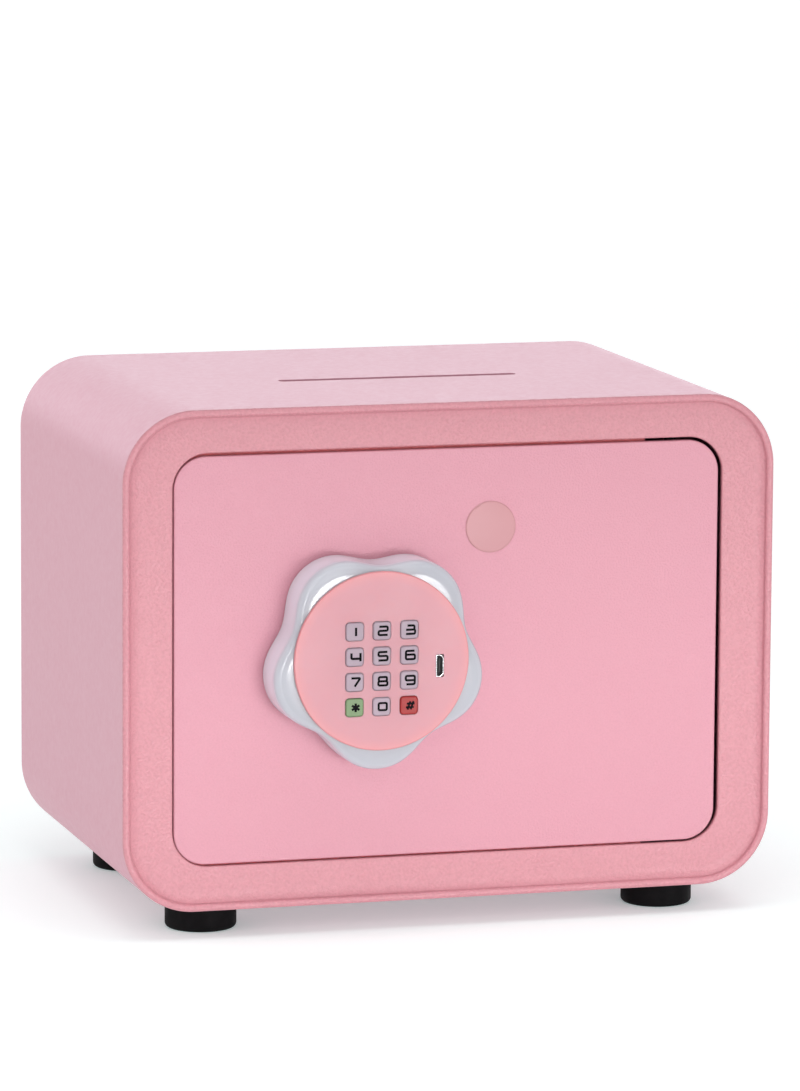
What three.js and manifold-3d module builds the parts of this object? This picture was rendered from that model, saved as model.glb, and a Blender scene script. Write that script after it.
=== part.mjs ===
// Toy safe coin bank: a sheet-metal box on four rubber feet, with a coin slot in its top, a hinged door,
// a flower-shaped turning knob that carries a keypad, and the locking mechanism inside the door.
//
// Millimetres, +Z up, +X to the right and +Y to the back, seen from the front.
// Everything is modelled inside the group "safe", whose own origin is the middle of the body's front rim:
// depths (y) count from the rim to the back, and heights (z) count from the middle of the body.
// The safe group is then placed so that the origin is on the floor, under the middle of the whole object.

import * as THREE from 'three';
import { mergeVertices } from 'three/addons/utils/BufferGeometryUtils.js';
import Module from 'manifold-3d';

const wasm = await Module();
wasm.setup();

// ---------------------------------------------------------------- driving dimensions

const BODY = { width: 230, height: 171, depth: 154, corner: 25, sheet: 1.5 };
const HEM = { width: 2.5, depth: 2.7 };                    // folded front edge of the body
const REST_GAP = 0.1;                                      // between flat faces that rest on each other
const GAP = 0.3;                                           // around curved and turned pieces
const FACE_Y = 3;                                          // frame and door faces, behind the rim

const SLOT = { length: 86, width: 4.5, y: 68.6 };
const FOOT = { radius: 12.3, height: 10, x: 82, frontY: 24, backY: 129 };
const FOOT_BORE = { radius: 2.3, headRadius: 5, headDepth: 5.2 };

const FRAME = { thickness: 2, openHalfWidth: 97.1, openHalfHeight: 70.5, openCorner: 12.3 };
const FLANGE = { thickness: 2, depth: 22, halfHeight: 58 };
const STOP = { right: 70, lip: 3.9, wall: 1.4, front: 6.3, thickness: 1.4 };
const DOOR = { left: -96.5, right: 95.4, bottom: -69.6, top: 69.2, corner: 11, thickness: 3, rounding: 0.7 };
const HINGE = { x: 80, y: 9, pinRadius: 2, collarRadius: 2.6, collarHeight: 1.7, tipZ: 74.2, innerZ: 60 };
const BRACKET = { z: 72, web: 1.2, tab: 2.5, depth: 9.7, height: 10, halfWidth: 9 };

const PAN = { left: -90, right: 91, halfHeight: 64, front: 6.3, back: 34.5, wall: 1.5, corner: 5 };
const COVER = { front: 34.8, thickness: 1.5, inset: 1 };
const LUG = { size: 10, depth: 8.5, hole: 1.6 };
const COVER_SCREWS = [{ x: -83.5, z: 0 }, { x: 84.5, z: 50 }];

// Screws: radii and lengths of the shank and of the domed head, whose crown is its narrower outer part.
const FOOT_SCREW = { shank: 1.9, tip: 4, head: 4, headHeight: 2.4, crown: 3, crownHeight: 0.8 };
const COVER_SCREW = { shank: 1.3, length: 8, head: 3, headHeight: 1.8, crown: 2, crownHeight: 0.7 };

const KNOB = { x: -29.3, z: 0.65, height: 17, rounding: 2.6, back: 2.5 };
// The flower: five lobes, broadened by a wave of twice their number, and turned by phase degrees.
const FLOWER = { radius: 35.15, lobes: 5, lobe: 2.77, broadening: 0.285, phase: 1.2, pointsPerLobe: 10 };
const KNOB_CAVITY = { radius: 26.5, floorY: -1.5 };
const DISC = { radius: 30.55, proud: 1.5, thickness: 1.2, back: -12.8, edge: 0.5 };
const BOARD = { radius: 25.5, front: -8, thickness: 1.6 };
const KEY = {
  size: 6.2, corner: 1.2, proud: 0.6, travel: 0.8, collar: 7.6, collarDepth: 1.2, stem: 1.5, clearance: 0.3,
};
const KEY_COLUMNS = [-9.6, -0.15, 9.45];
const KEY_ROWS = [10.44, 1.79, -6.76, -15.41];
const KEY_NAMES = ['1', '2', '3', '4', '5', '6', '7', '8', '9', 'star', '0', 'hash'];
const USB = { x: 20.28, z: -2.36, width: 2.7, height: 7.6, wall: 0.35, floor: 1.5 };

const SHAFT = { front: 6.7, rear: 5, bore: 3, stepY: 8.4, endY: 13.2, flange: 12, flangeThickness: 1.1 };
const GROOVE = { y: 11.8, width: 0.7, depth: 0.7 };
const CIRCLIP = { outer: 5.7, grip: 0.4, thickness: 0.5, mouth: 2 };
const BUSH = { outer: 9.2, flange: 11, flangeThickness: 1.5 };
const CRANK = {
  plateRadius: 11, plateY: 9, plateThickness: 2.5, radius: 8, pin: 2, pinEndY: 18, slotSlack: 0.7,
};
const CARRIAGE = {
  y: 14, thickness: 2.5, left: -63, right: -15, bottom: -11.2, top: 18,
  flangeWidth: 3, flangeDepth: 11, flangeHalf: 47,
};
const GUIDE = { left: -54, right: -10, wall: 1.5, lip: 5 };
const BOLT = { z: 40, radius: 5, y: 19.5, tipX: -90.8, chamfer: 1 };

const SOLENOID = {
  halfWidth: 10, bottom: 28, top: 56, web: 1.5, depth: 16.6, front: 6.4, coil: 7, cheek: 1.2,
};
const PLUNGER = { x: -40, y: 15.25, radius: 3, travel: 4, lift: 0.6, inside: 6 };
const COLLAR = { bottom: 22.5, thickness: 1.5, radius: 5.2 };
const SPRING = { radius: 4.3, wire: 0.35, turns: 2.5, stepsPerTurn: 12 };

const LOCK = {
  x: 14.1, z: 42.1, bore: 4.8, front: 4.7, back: 24.5, nose: 7.6, flange: 10.5, flangeThickness: 1.7, barrel: 7,
};
const PLUG = { pivot: 2, pivotLength: 3.5, sink: 0.4 };
const KEYWAY = { halfWidth: 0.6, halfHeight: 2.6, depth: 8 };
const CAM = { length: 14, halfWidth: 4, corner: 3.9, front: 0.8, thickness: 1.6 };
const CAP = { radius: 8.85, spigot: 7.6, spigotDepth: 1.4, rise: 0.95, edge: 0.2, steps: 4 };
const CAP_NOTCH = { halfWidth: 1.6, depth: 0.7, floor: 0.35, turn: -38 };

const BATTERY = { radius: 7.1, length: 49.2, nub: 2.6, nubHeight: 1.3, chamfer: 0.4, pitch: 15, count: 4 };
const BATTERY_BOX = { left: 24, right: 86, halfHeight: 32, front: 15.5, back: 34.2, wall: 1.5 };
const BATTERY_LID = {
  thickness: 1.6, overhang: 1, corner: 2.5, rounding: 0.4, ledgeDepth: 1.5, ledgeGap: 0.4,
};
const RESET = { x: 0, z: -48, radius: 3.5, proud: 2, chamfer: 0.6, skirt: 5.2, skirtDepth: 2.2 };

const KNOB_FRONT = FACE_Y - KNOB.height;
const DISC_FRONT = KNOB_FRONT - DISC.proud;
const KEY_FRONT = DISC_FRONT - KEY.proud;
const DOOR_BACK = FACE_Y + DOOR.thickness;
const FRAME_BACK = FACE_Y + FRAME.thickness;
const COVER_BACK = COVER.front + COVER.thickness;
const EIGHTH_TURN = Math.PI / 4;
const BOLT_TRAVEL = 2 * CRANK.radius * Math.sin(EIGHTH_TURN);
const PAST = 1;                                            // how far a cutter runs past what it cuts

// ---------------------------------------------------------------- shapes and booleans

// A geometry as a solid: shared vertices are merged and empty triangles dropped.
function solid(geometry) {
  const bare = new THREE.BufferGeometry();
  bare.setAttribute('position', geometry.getAttribute('position'));
  bare.setIndex(geometry.index);
  const merged = mergeVertices(bare, 1e-4);
  const corners = [];
  for (let i = 0; i < merged.index.count; i += 3) {
    const triangle = [0, 1, 2].map((k) => merged.index.getX(i + k));
    if (new Set(triangle).size === 3) {
      corners.push(...triangle);
    }
  }
  return new wasm.Manifold(new wasm.Mesh({
    numProp: 3,
    vertProperties: new Float32Array(merged.getAttribute('position').array),
    triVerts: new Uint32Array(corners),
  }));
}

function join(first, ...others) {
  return others.reduce((whole, other) => whole.add(other), first);
}

function cut(first, ...others) {
  return others.reduce((whole, other) => whole.subtract(other), first);
}

function box(x0, x1, y0, y1, z0, z1) {
  const geometry = new THREE.BoxGeometry(x1 - x0, y1 - y0, z1 - z0);
  geometry.translate((x0 + x1) / 2, (y0 + y1) / 2, (z0 + z1) / 2);
  return solid(geometry);
}

function rodY(x, z, radius, y0, y1, sides = 20) {
  const geometry = new THREE.CylinderGeometry(radius, radius, y1 - y0, sides);
  geometry.translate(x, (y0 + y1) / 2, z);
  return solid(geometry);
}

function rodX(y, z, radius, x0, x1, sides = 16) {
  const geometry = new THREE.CylinderGeometry(radius, radius, x1 - x0, sides);
  geometry.rotateZ(Math.PI / 2);
  geometry.translate((x0 + x1) / 2, y, z);
  return solid(geometry);
}

function rodZ(x, y, radius, z0, z1, sides = 16) {
  const geometry = new THREE.CylinderGeometry(radius, radius, z1 - z0, sides);
  geometry.rotateX(Math.PI / 2);
  geometry.translate(x, y, (z0 + z1) / 2);
  return solid(geometry);
}

// A turned piece about the Y axis. Each profile point is [radius, y], in order round the closed section.
function turnedY(profile, sides = 20) {
  const points = profile.map(([radius, y]) => new THREE.Vector2(radius, y));
  return solid(new THREE.LatheGeometry([...points, points[0]], sides));
}

// A turned piece about the Z axis. Each profile point is [radius, z].
function turnedZ(profile, sides = 20) {
  const points = profile.map(([radius, z]) => new THREE.Vector2(radius, z));
  const geometry = new THREE.LatheGeometry([...points, points[0]], sides);
  geometry.rotateX(Math.PI / 2);
  return solid(geometry);
}

// An outline drawn in X and Z, with thickness from y0 to y1 and an optional rounded edge.
function plate(outline, y0, y1, rounding = 0, roundingSteps = 1, arcSteps = 5) {
  const geometry = new THREE.ExtrudeGeometry(outline, {
    depth: y1 - y0 - 2 * rounding,
    bevelEnabled: rounding > 0,
    bevelThickness: rounding,
    bevelSize: rounding,
    bevelOffset: -rounding,
    bevelSegments: roundingSteps,
    curveSegments: arcSteps,
  });
  geometry.rotateX(Math.PI / 2);
  geometry.translate(0, y1 - rounding, 0);
  return solid(geometry);
}

function roundedRectangle(x0, x1, z0, z1, radius) {
  const outline = new THREE.Shape();
  outline.moveTo(x0 + radius, z0);
  outline.lineTo(x1 - radius, z0);
  outline.absarc(x1 - radius, z0 + radius, radius, -Math.PI / 2, 0);
  outline.lineTo(x1, z1 - radius);
  outline.absarc(x1 - radius, z1 - radius, radius, 0, Math.PI / 2);
  outline.lineTo(x0 + radius, z1);
  outline.absarc(x0 + radius, z1 - radius, radius, Math.PI / 2, Math.PI);
  outline.lineTo(x0, z0 + radius);
  outline.absarc(x0 + radius, z0 + radius, radius, Math.PI, 1.5 * Math.PI);
  return outline;
}

// The body's outer outline, moved in by inset.
function bodyOutline(inset) {
  const halfWidth = BODY.width / 2 - inset;
  const halfHeight = BODY.height / 2 - inset;
  return roundedRectangle(-halfWidth, halfWidth, -halfHeight, halfHeight, BODY.corner - inset);
}

function flowerOutline() {
  const { radius, lobes, lobe, broadening, phase, pointsPerLobe } = FLOWER;
  const count = lobes * pointsPerLobe;
  const points = [];
  for (let i = 0; i < count; i += 1) {
    const angle = (2 * Math.PI * i) / count;
    const wave = lobes * (angle + Math.PI / 2 + THREE.MathUtils.degToRad(phase));
    const reach = radius + lobe * Math.cos(wave) - broadening * Math.cos(2 * wave);
    points.push(new THREE.Vector2(reach * Math.cos(angle), reach * Math.sin(angle)));
  }
  return new THREE.Shape(points);
}

// The two ends of a stretch above (side 1) or below (side -1) the body's middle, lower end first.
function mirrored(side, from, to) {
  return side > 0 ? [from, to] : [-to, -from];
}

// ---------------------------------------------------------------- finishes

const FINISHES = {
  pinkPaint: { color: 0xefa9b0, roughness: 0.55, metalness: 0 },
  pinkPlastic: { color: 0xf2b0b4, roughness: 0.35, metalness: 0 },
  whitePlastic: { color: 0xeff2f5, roughness: 0.15, metalness: 0 },
  keyPlastic: { color: 0xb9a0ac, roughness: 0.4, metalness: 0 },
  greenPlastic: { color: 0x9cc48a, roughness: 0.4, metalness: 0 },
  redPlastic: { color: 0xd2504e, roughness: 0.4, metalness: 0 },
  blackPlastic: { color: 0x1c1c1e, roughness: 0.5, metalness: 0 },
  blackRubber: { color: 0x101011, roughness: 0.8, metalness: 0 },
  zincSteel: { color: 0xb8bcc2, roughness: 0.35, metalness: 1 },
  brass: { color: 0xc9a24f, roughness: 0.3, metalness: 1 },
  copperWire: { color: 0xb4683a, roughness: 0.4, metalness: 1 },
  circuitBoard: { color: 0x1f6b3d, roughness: 0.5, metalness: 0 },
  batterySleeve: { color: 0x33363b, roughness: 0.35, metalness: 0.2 },
};

function add(parent, name, body, finish) {
  const cleaned = body.getMesh();
  const geometry = new THREE.BufferGeometry();
  geometry.setAttribute('position', new THREE.BufferAttribute(new Float32Array(cleaned.vertProperties), 3));
  geometry.setIndex(new THREE.BufferAttribute(new Uint32Array(cleaned.triVerts), 1));
  geometry.computeVertexNormals();
  const mesh = new THREE.Mesh(geometry, new THREE.MeshStandardMaterial(FINISHES[finish]));
  mesh.name = name;
  parent.add(mesh);
  return mesh;
}

// ---------------------------------------------------------------- body shell

const footPlaces = [
  { name: 'front_left', x: -FOOT.x, y: FOOT.frontY },
  { name: 'front_right', x: FOOT.x, y: FOOT.frontY },
  { name: 'back_left', x: -FOOT.x, y: FOOT.backY },
  { name: 'back_right', x: FOOT.x, y: FOOT.backY },
];

// One bent sheet: a rounded tube, with a thicker folded hem round the front, the coin slot and screw holes.
function bodyWrap() {
  const floorZ = -BODY.height / 2;
  const roofZ = BODY.height / 2;
  const hemOutline = bodyOutline(0);
  hemOutline.holes.push(bodyOutline(HEM.width));
  const sheetOutline = bodyOutline(0);
  sheetOutline.holes.push(bodyOutline(BODY.sheet));
  const hem = plate(hemOutline, 0, HEM.depth, 0.9, 1, 6);
  const tube = plate(sheetOutline, HEM.depth / 2, BODY.depth, 0, 0, 6);
  const half = SLOT.length / 2 - SLOT.width / 2;
  const coinSlot = join(
    box(-half, half, SLOT.y - SLOT.width / 2, SLOT.y + SLOT.width / 2, roofZ - 5, roofZ + 5),
    rodZ(-half, SLOT.y, SLOT.width / 2, roofZ - 5, roofZ + 5, 8),
    rodZ(half, SLOT.y, SLOT.width / 2, roofZ - 5, roofZ + 5, 8),
  );
  const screwHoles = footPlaces.map(({ x, y }) => rodZ(x, y, FOOT_BORE.radius, floorZ - 5, floorZ + 5, 12));
  return cut(join(hem, tube), coinSlot, ...screwHoles);
}

function backPanel() {
  const inset = BODY.sheet + GAP;
  return plate(bodyOutline(inset), BODY.depth - 3, BODY.depth - 1.5);
}

function frameOpening(growth) {
  const halfWidth = FRAME.openHalfWidth + growth;
  const halfHeight = FRAME.openHalfHeight + growth;
  return roundedRectangle(-halfWidth, halfWidth, -halfHeight, halfHeight, FRAME.openCorner + growth);
}

// A band round the opening, between two offsets from it, left off on the hinge side.
function openingBand(inner, outer, y0, y1) {
  const outline = frameOpening(outer);
  outline.holes.push(frameOpening(inner));
  const far = BODY.width;
  return cut(plate(outline, y0, y1), box(STOP.right, far, y0 - PAST, y1 + PAST, -far, far));
}

// The face frame round the door. Its edge is folded back into a stop behind the door plate, except at the
// hinge, where the door's edge swings inwards. On the left a deeper flange takes the bolts.
function frontFrame() {
  const outline = bodyOutline(BODY.sheet + GAP);
  outline.holes.push(frameOpening(0));
  const face = plate(outline, FACE_Y, FRAME_BACK);
  const stopBack = STOP.front + STOP.thickness;
  const fold = openingBand(0, STOP.wall, FACE_Y + 1, stopBack);
  const stop = openingBand(-STOP.lip, STOP.wall, STOP.front, stopBack);
  const inner = -FRAME.openHalfWidth;
  const flange = box(inner - FLANGE.thickness, inner, FACE_Y + 1, FACE_Y + FLANGE.depth,
    -FLANGE.halfHeight, FLANGE.halfHeight);
  const boltHoles = [-BOLT.z, BOLT.z].map(
    (z) => rodX(BOLT.y, z, BOLT.radius + 1, inner - FLANGE.thickness - PAST, inner + PAST),
  );
  return cut(join(face, fold, stop, flange), ...boltHoles);
}

// An angle bracket behind the frame. side is 1 above the door and -1 below it.
function hingeBracket(side) {
  const front = FRAME_BACK + GAP;
  const { x, y, pinRadius } = HINGE;
  const { z, web, tab, depth, height, halfWidth } = BRACKET;
  const [left, right] = [x - halfWidth, x + halfWidth];
  return cut(
    join(
      box(left, right, front, front + web, ...mirrored(side, z, z + height)),
      box(left, right, front, front + depth, ...mirrored(side, z, z + tab)),
    ),
    rodZ(x, y, pinRadius + GAP, ...mirrored(side, z - PAST, z + tab + PAST)),
  );
}

// A rubber foot with a stepped hole for its screw, drawn about its own axis with z = 0 on the floor.
function foot() {
  const { radius, height } = FOOT;
  return turnedZ([
    [FOOT_BORE.headRadius, 0],
    [radius - 1.2, 0],
    [radius - 0.3, 0.9],
    [radius, 1.8],
    [radius - 0.3, height - 0.8],
    [radius - 1, height - REST_GAP],
    [FOOT_BORE.radius, height - REST_GAP],
    [FOOT_BORE.radius, FOOT_BORE.headDepth],
    [FOOT_BORE.headRadius, FOOT_BORE.headDepth],
  ]);
}

function footScrew() {
  const { shank, tip, head, headHeight, crown, crownHeight } = FOOT_SCREW;
  const underHead = FOOT_BORE.headDepth - REST_GAP;
  const end = FOOT.height + BODY.sheet + tip;
  return turnedZ([
    [0, underHead - headHeight],
    [crown, underHead - headHeight],
    [head, underHead - headHeight + crownHeight],
    [head, underHead],
    [shank, underHead],
    [shank, end - 1],
    [0, end],
  ], 16);
}

// ---------------------------------------------------------------- door shell

function doorPlate() {
  const outline = roundedRectangle(DOOR.left, DOOR.right, DOOR.bottom, DOOR.top, DOOR.corner);
  const face = plate(outline, FACE_Y, DOOR_BACK, DOOR.rounding);
  const through = [FACE_Y - PAST, DOOR_BACK + PAST];
  return cut(
    face,
    rodY(KNOB.x, KNOB.z, BUSH.outer + GAP, ...through),
    rodY(LOCK.x, LOCK.z, LOCK.nose + GAP + REST_GAP, ...through),
  );
}

// The box behind the door plate, with holes for the bolts and hinge pins, and two lugs for its cover's screws.
function doorPan() {
  const { left, right, halfHeight, front, back, wall, corner } = PAN;
  const outline = roundedRectangle(left, right, -halfHeight, halfHeight, corner);
  outline.holes.push(roundedRectangle(
    left + wall, right - wall, -halfHeight + wall, halfHeight - wall, corner - wall,
  ));
  const walls = plate(outline, front, back, 0, 0, 3);
  const lugBox = (x0, x1, z) => box(x0, x1, back - LUG.depth, back, z - LUG.size / 2, z + LUG.size / 2);
  const lugs = [
    lugBox(left + wall / 2, left + wall + LUG.size, COVER_SCREWS[0].z),
    lugBox(right - wall - LUG.size, right - wall / 2, COVER_SCREWS[1].z),
  ];
  const screwHoles = COVER_SCREWS.map(
    ({ x, z }) => rodY(x, z, LUG.hole, back - LUG.depth - PAST, back + PAST, 16),
  );
  const boltHoles = [-BOLT.z, BOLT.z].map(
    (z) => rodX(BOLT.y, z, BOLT.radius + GAP + REST_GAP, left - PAST, left + wall + PAST),
  );
  const pinHole = rodZ(HINGE.x, HINGE.y, HINGE.pinRadius + GAP, -halfHeight - PAST, halfHeight + PAST);
  return cut(join(walls, ...lugs), ...screwHoles, ...boltHoles, pinHole);
}

function doorBackCover() {
  const { left, right, halfHeight, corner } = PAN;
  const { front, inset } = COVER;
  const { wall } = BATTERY_BOX;
  const through = [front - PAST, COVER_BACK + PAST];
  const outline = roundedRectangle(
    left + inset, right - inset, -halfHeight + inset, halfHeight - inset, corner - inset,
  );
  outline.holes.push(roundedRectangle(
    BATTERY_BOX.left + wall, BATTERY_BOX.right - wall,
    -BATTERY_BOX.halfHeight + wall, BATTERY_BOX.halfHeight - wall, 1,
  ));
  const sheet = plate(outline, front, COVER_BACK, 0, 0, 3);
  const screwHoles = COVER_SCREWS.map(({ x, z }) => rodY(x, z, LUG.hole + 0.2, ...through, 16));
  const resetHole = rodY(RESET.x, RESET.z, RESET.radius + GAP + REST_GAP, ...through, 24);
  return cut(sheet, ...screwHoles, resetHole);
}

function coverScrew({ x, z }) {
  const { shank, length, head, headHeight, crown, crownHeight } = COVER_SCREW;
  const underHead = COVER_BACK + REST_GAP;
  const screw = turnedY([
    [0, underHead - length],
    [shank, underHead - length + 1],
    [shank, underHead],
    [head, underHead],
    [head, underHead + headHeight - crownHeight],
    [crown, underHead + headHeight],
    [0, underHead + headHeight],
  ], 16);
  return screw.translate([x, 0, z]);
}

// A headed pin through the pan's end wall. side is 1 for the top pin and -1 for the bottom one.
function hingePin(side) {
  const { x, y, pinRadius, collarRadius, collarHeight, innerZ, tipZ } = HINGE;
  const collarZ = PAN.halfHeight + GAP;
  return join(
    rodZ(x, y, pinRadius, ...mirrored(side, innerZ, tipZ)),
    rodZ(x, y, collarRadius, ...mirrored(side, collarZ, collarZ + collarHeight)),
  );
}

function knobBush() {
  const plateBack = DOOR_BACK + GAP;
  const inner = SHAFT.front + GAP;
  return turnedY([
    [inner, FACE_Y],
    [BUSH.outer, FACE_Y],
    [BUSH.outer, plateBack],
    [BUSH.flange, plateBack],
    [BUSH.flange, plateBack + BUSH.flangeThickness],
    [inner, plateBack + BUSH.flangeThickness],
  ]);
}

// A channel along the carriage's lower edge, standing on the door plate.
function carriageGuide() {
  const { left, right, wall, lip } = GUIDE;
  const seatZ = CARRIAGE.bottom - GAP;
  const [near, far] = [CARRIAGE.y - GAP, CARRIAGE.y + CARRIAGE.thickness + GAP];
  return join(
    box(left, right, PAN.front, far + wall, seatZ - wall, seatZ),
    box(left, right, near - wall, near, seatZ - wall, seatZ + lip),
    box(left, right, far, far + wall, seatZ - wall, seatZ + lip),
  );
}

// ---------------------------------------------------------------- solenoid

function solenoidFrame() {
  const { halfWidth, bottom, top, web, depth, front } = SOLENOID;
  const [left, right] = [PLUNGER.x - halfWidth, PLUNGER.x + halfWidth];
  return cut(
    join(
      box(left, right, front, front + web, bottom, top),
      box(left, right, front, front + depth, bottom, bottom + web),
      box(left, right, front, front + depth, top - web, top),
    ),
    rodZ(PLUNGER.x, PLUNGER.y, PLUNGER.radius + GAP, bottom - PAST, bottom + web + PAST),
  );
}

function solenoidCoil() {
  const { bottom, top, web, coil, cheek } = SOLENOID;
  const [low, high] = [bottom + web + GAP, top - web - GAP];
  const bore = PLUNGER.radius + GAP + REST_GAP;
  const wound = coil - 0.8;
  const winding = turnedZ([
    [bore, low],
    [coil, low],
    [coil, low + cheek],
    [wound, low + cheek],
    [wound, high - cheek],
    [coil, high - cheek],
    [coil, high],
    [bore, high],
  ]);
  return winding.translate([PLUNGER.x, PLUNGER.y, 0]);
}

function solenoidPlunger() {
  const tip = CARRIAGE.top + PLUNGER.lift;
  const chamfer = 0.6;
  const end = SOLENOID.top - PLUNGER.inside;
  const { bottom, thickness, radius } = COLLAR;
  const rod = turnedZ([
    [0, tip],
    [PLUNGER.radius - chamfer, tip],
    [PLUNGER.radius, tip + chamfer],
    [PLUNGER.radius, bottom],
    [radius, bottom],
    [radius, bottom + thickness],
    [PLUNGER.radius, bottom + thickness],
    [PLUNGER.radius, end],
    [0, end],
  ]);
  return rod.translate([PLUNGER.x, PLUNGER.y, 0]);
}

// An open coil between the plunger's collar and the solenoid frame.
function plungerSpring() {
  const { radius, wire, turns, stepsPerTurn } = SPRING;
  const low = COLLAR.bottom + COLLAR.thickness + GAP + wire;
  const high = SOLENOID.bottom - GAP - wire;
  const steps = turns * stepsPerTurn;
  const path = new THREE.CatmullRomCurve3(Array.from({ length: steps + 1 }, (_, i) => {
    const angle = (2 * Math.PI * i) / stepsPerTurn;
    const height = low + ((high - low) * i) / steps;
    return new THREE.Vector3(radius * Math.cos(angle), radius * Math.sin(angle), height);
  }));
  const section = new THREE.Shape();
  section.absarc(0, 0, wire, 0, 2 * Math.PI);
  const geometry = new THREE.ExtrudeGeometry(section, {
    steps, extrudePath: path, curveSegments: 3, bevelEnabled: false,
  });
  return solid(geometry).translate([PLUNGER.x, PLUNGER.y, 0]);
}

// ---------------------------------------------------------------- bolts

// The sliding plate: an upright flange that holds the bolts, and an arm that the crank pin and plunger act on.
function boltCarriage() {
  const { y, thickness, left, right, bottom, top, flangeWidth, flangeDepth, flangeHalf } = CARRIAGE;
  const through = [y - PAST, y + thickness + PAST];
  const flange = box(left, left + flangeWidth, y, y + flangeDepth, -flangeHalf, flangeHalf);
  const arm = box(left + 1, right, y, y + thickness, bottom, top);
  const slotX = KNOB.x + CRANK.radius * Math.cos(EIGHTH_TURN);
  const slotHalf = CRANK.pin + CRANK.slotSlack;
  const slotLow = KNOB.z + CRANK.radius * Math.sin(EIGHTH_TURN) - slotHalf;
  const slotHigh = KNOB.z + CRANK.radius + slotHalf;
  const crankSlot = box(slotX - slotHalf, slotX + slotHalf, ...through, slotLow, slotHigh);
  const slack = GAP + REST_GAP;
  const notchHalf = PLUNGER.radius + slack;
  const notchFloor = top + PLUNGER.lift - PLUNGER.travel - slack;
  const notches = [PLUNGER.x, PLUNGER.x + BOLT_TRAVEL].map(
    (x) => box(x - notchHalf, x + notchHalf, ...through, notchFloor, top + PAST),
  );
  return cut(join(flange, arm), crankSlot, ...notches);
}

function bolt(side) {
  const { z, radius, y, tipX, chamfer } = BOLT;
  const length = CARRIAGE.left - REST_GAP - tipX;
  const bar = new THREE.LatheGeometry([
    new THREE.Vector2(0, 0),
    new THREE.Vector2(radius - chamfer, 0),
    new THREE.Vector2(radius, chamfer),
    new THREE.Vector2(radius, length),
    new THREE.Vector2(0, length),
  ], 20);
  bar.rotateZ(-Math.PI / 2);
  bar.translate(tipX, y, side * z);
  return solid(bar);
}

// ---------------------------------------------------------------- key lock and its cap

function lockCylinder() {
  const { bore, front, back, nose, flange, flangeThickness, barrel } = LOCK;
  const flangeY = DOOR_BACK + GAP;
  return turnedY([
    [bore, front],
    [nose, front],
    [nose, flangeY],
    [flange, flangeY],
    [flange, flangeY + flangeThickness],
    [barrel, flangeY + flangeThickness],
    [barrel, back],
    [bore, back],
  ]);
}

function lockPlug() {
  const radius = LOCK.bore - GAP;
  const front = LOCK.front + PLUG.sink;
  const back = LOCK.back + PLUG.sink;
  const plug = turnedY([
    [0, front],
    [radius, front],
    [radius, back],
    [PLUG.pivot, back],
    [PLUG.pivot, LOCK.back + PLUG.pivotLength],
    [0, LOCK.back + PLUG.pivotLength],
  ], 16);
  const { halfWidth, halfHeight, depth } = KEYWAY;
  return cut(plug, box(-halfWidth, halfWidth, front - PAST, front + depth, -halfHeight, halfHeight));
}

function lockCam() {
  const { length, halfWidth, corner, thickness } = CAM;
  const front = LOCK.back + CAM.front;
  const arm = roundedRectangle(-length, halfWidth, -halfWidth, halfWidth, corner);
  const hole = rodY(0, 0, PLUG.pivot + GAP, front - PAST, front + thickness + PAST, 12);
  return cut(plate(arm, front, front + thickness, 0, 0, 4), hole);
}

// A shallow domed plug over the key lock, with a small notch in its edge to pry it out by.
function keyCoverCap() {
  const { radius, spigot, spigotDepth, rise, edge, steps } = CAP;
  const seat = FACE_Y - REST_GAP;
  const dome = Array.from({ length: steps + 1 }, (_, i) => {
    const share = i / steps;
    return [radius * share, seat - edge - (rise - edge) * (1 - share ** 2)];
  });
  const cap = turnedY([
    ...dome,
    [radius, seat],
    [spigot, seat],
    [spigot, seat + spigotDepth],
    [0, seat + spigotDepth],
  ], 28);
  const { halfWidth, depth, floor, turn } = CAP_NOTCH;
  const notch = box(-halfWidth, halfWidth, seat - 2, seat - floor, radius - depth, radius + PAST);
  return cut(cap, notch.rotate([0, turn, 0]));
}

// ---------------------------------------------------------------- battery compartment and reset button

function batteryBox() {
  const { left, right, halfHeight, front, back, wall } = BATTERY_BOX;
  return cut(
    box(left, right, front, back, -halfHeight, halfHeight),
    box(left + wall, right - wall, front + wall, back + PAST, -halfHeight + wall, halfHeight - wall),
  );
}

// An AA cell lying along X. Every other cell is turned round.
function battery(index) {
  const { radius, length, nub, nubHeight, chamfer, pitch, count } = BATTERY;
  const z = (index - (count - 1) / 2) * pitch;
  const whole = length + nubHeight;
  const cell = new THREE.LatheGeometry([
    new THREE.Vector2(0, 0),
    new THREE.Vector2(radius - chamfer, 0),
    new THREE.Vector2(radius, chamfer),
    new THREE.Vector2(radius, length - chamfer),
    new THREE.Vector2(radius - chamfer, length),
    new THREE.Vector2(nub, length),
    new THREE.Vector2(nub, whole),
    new THREE.Vector2(0, whole),
  ], 16);
  const { left, right, front, wall } = BATTERY_BOX;
  cell.translate(0, -whole / 2, 0);
  cell.rotateZ(index % 2 === 0 ? Math.PI / 2 : -Math.PI / 2);
  cell.translate((left + right) / 2, front + wall + GAP + REST_GAP + radius, z);
  return solid(cell);
}

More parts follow.
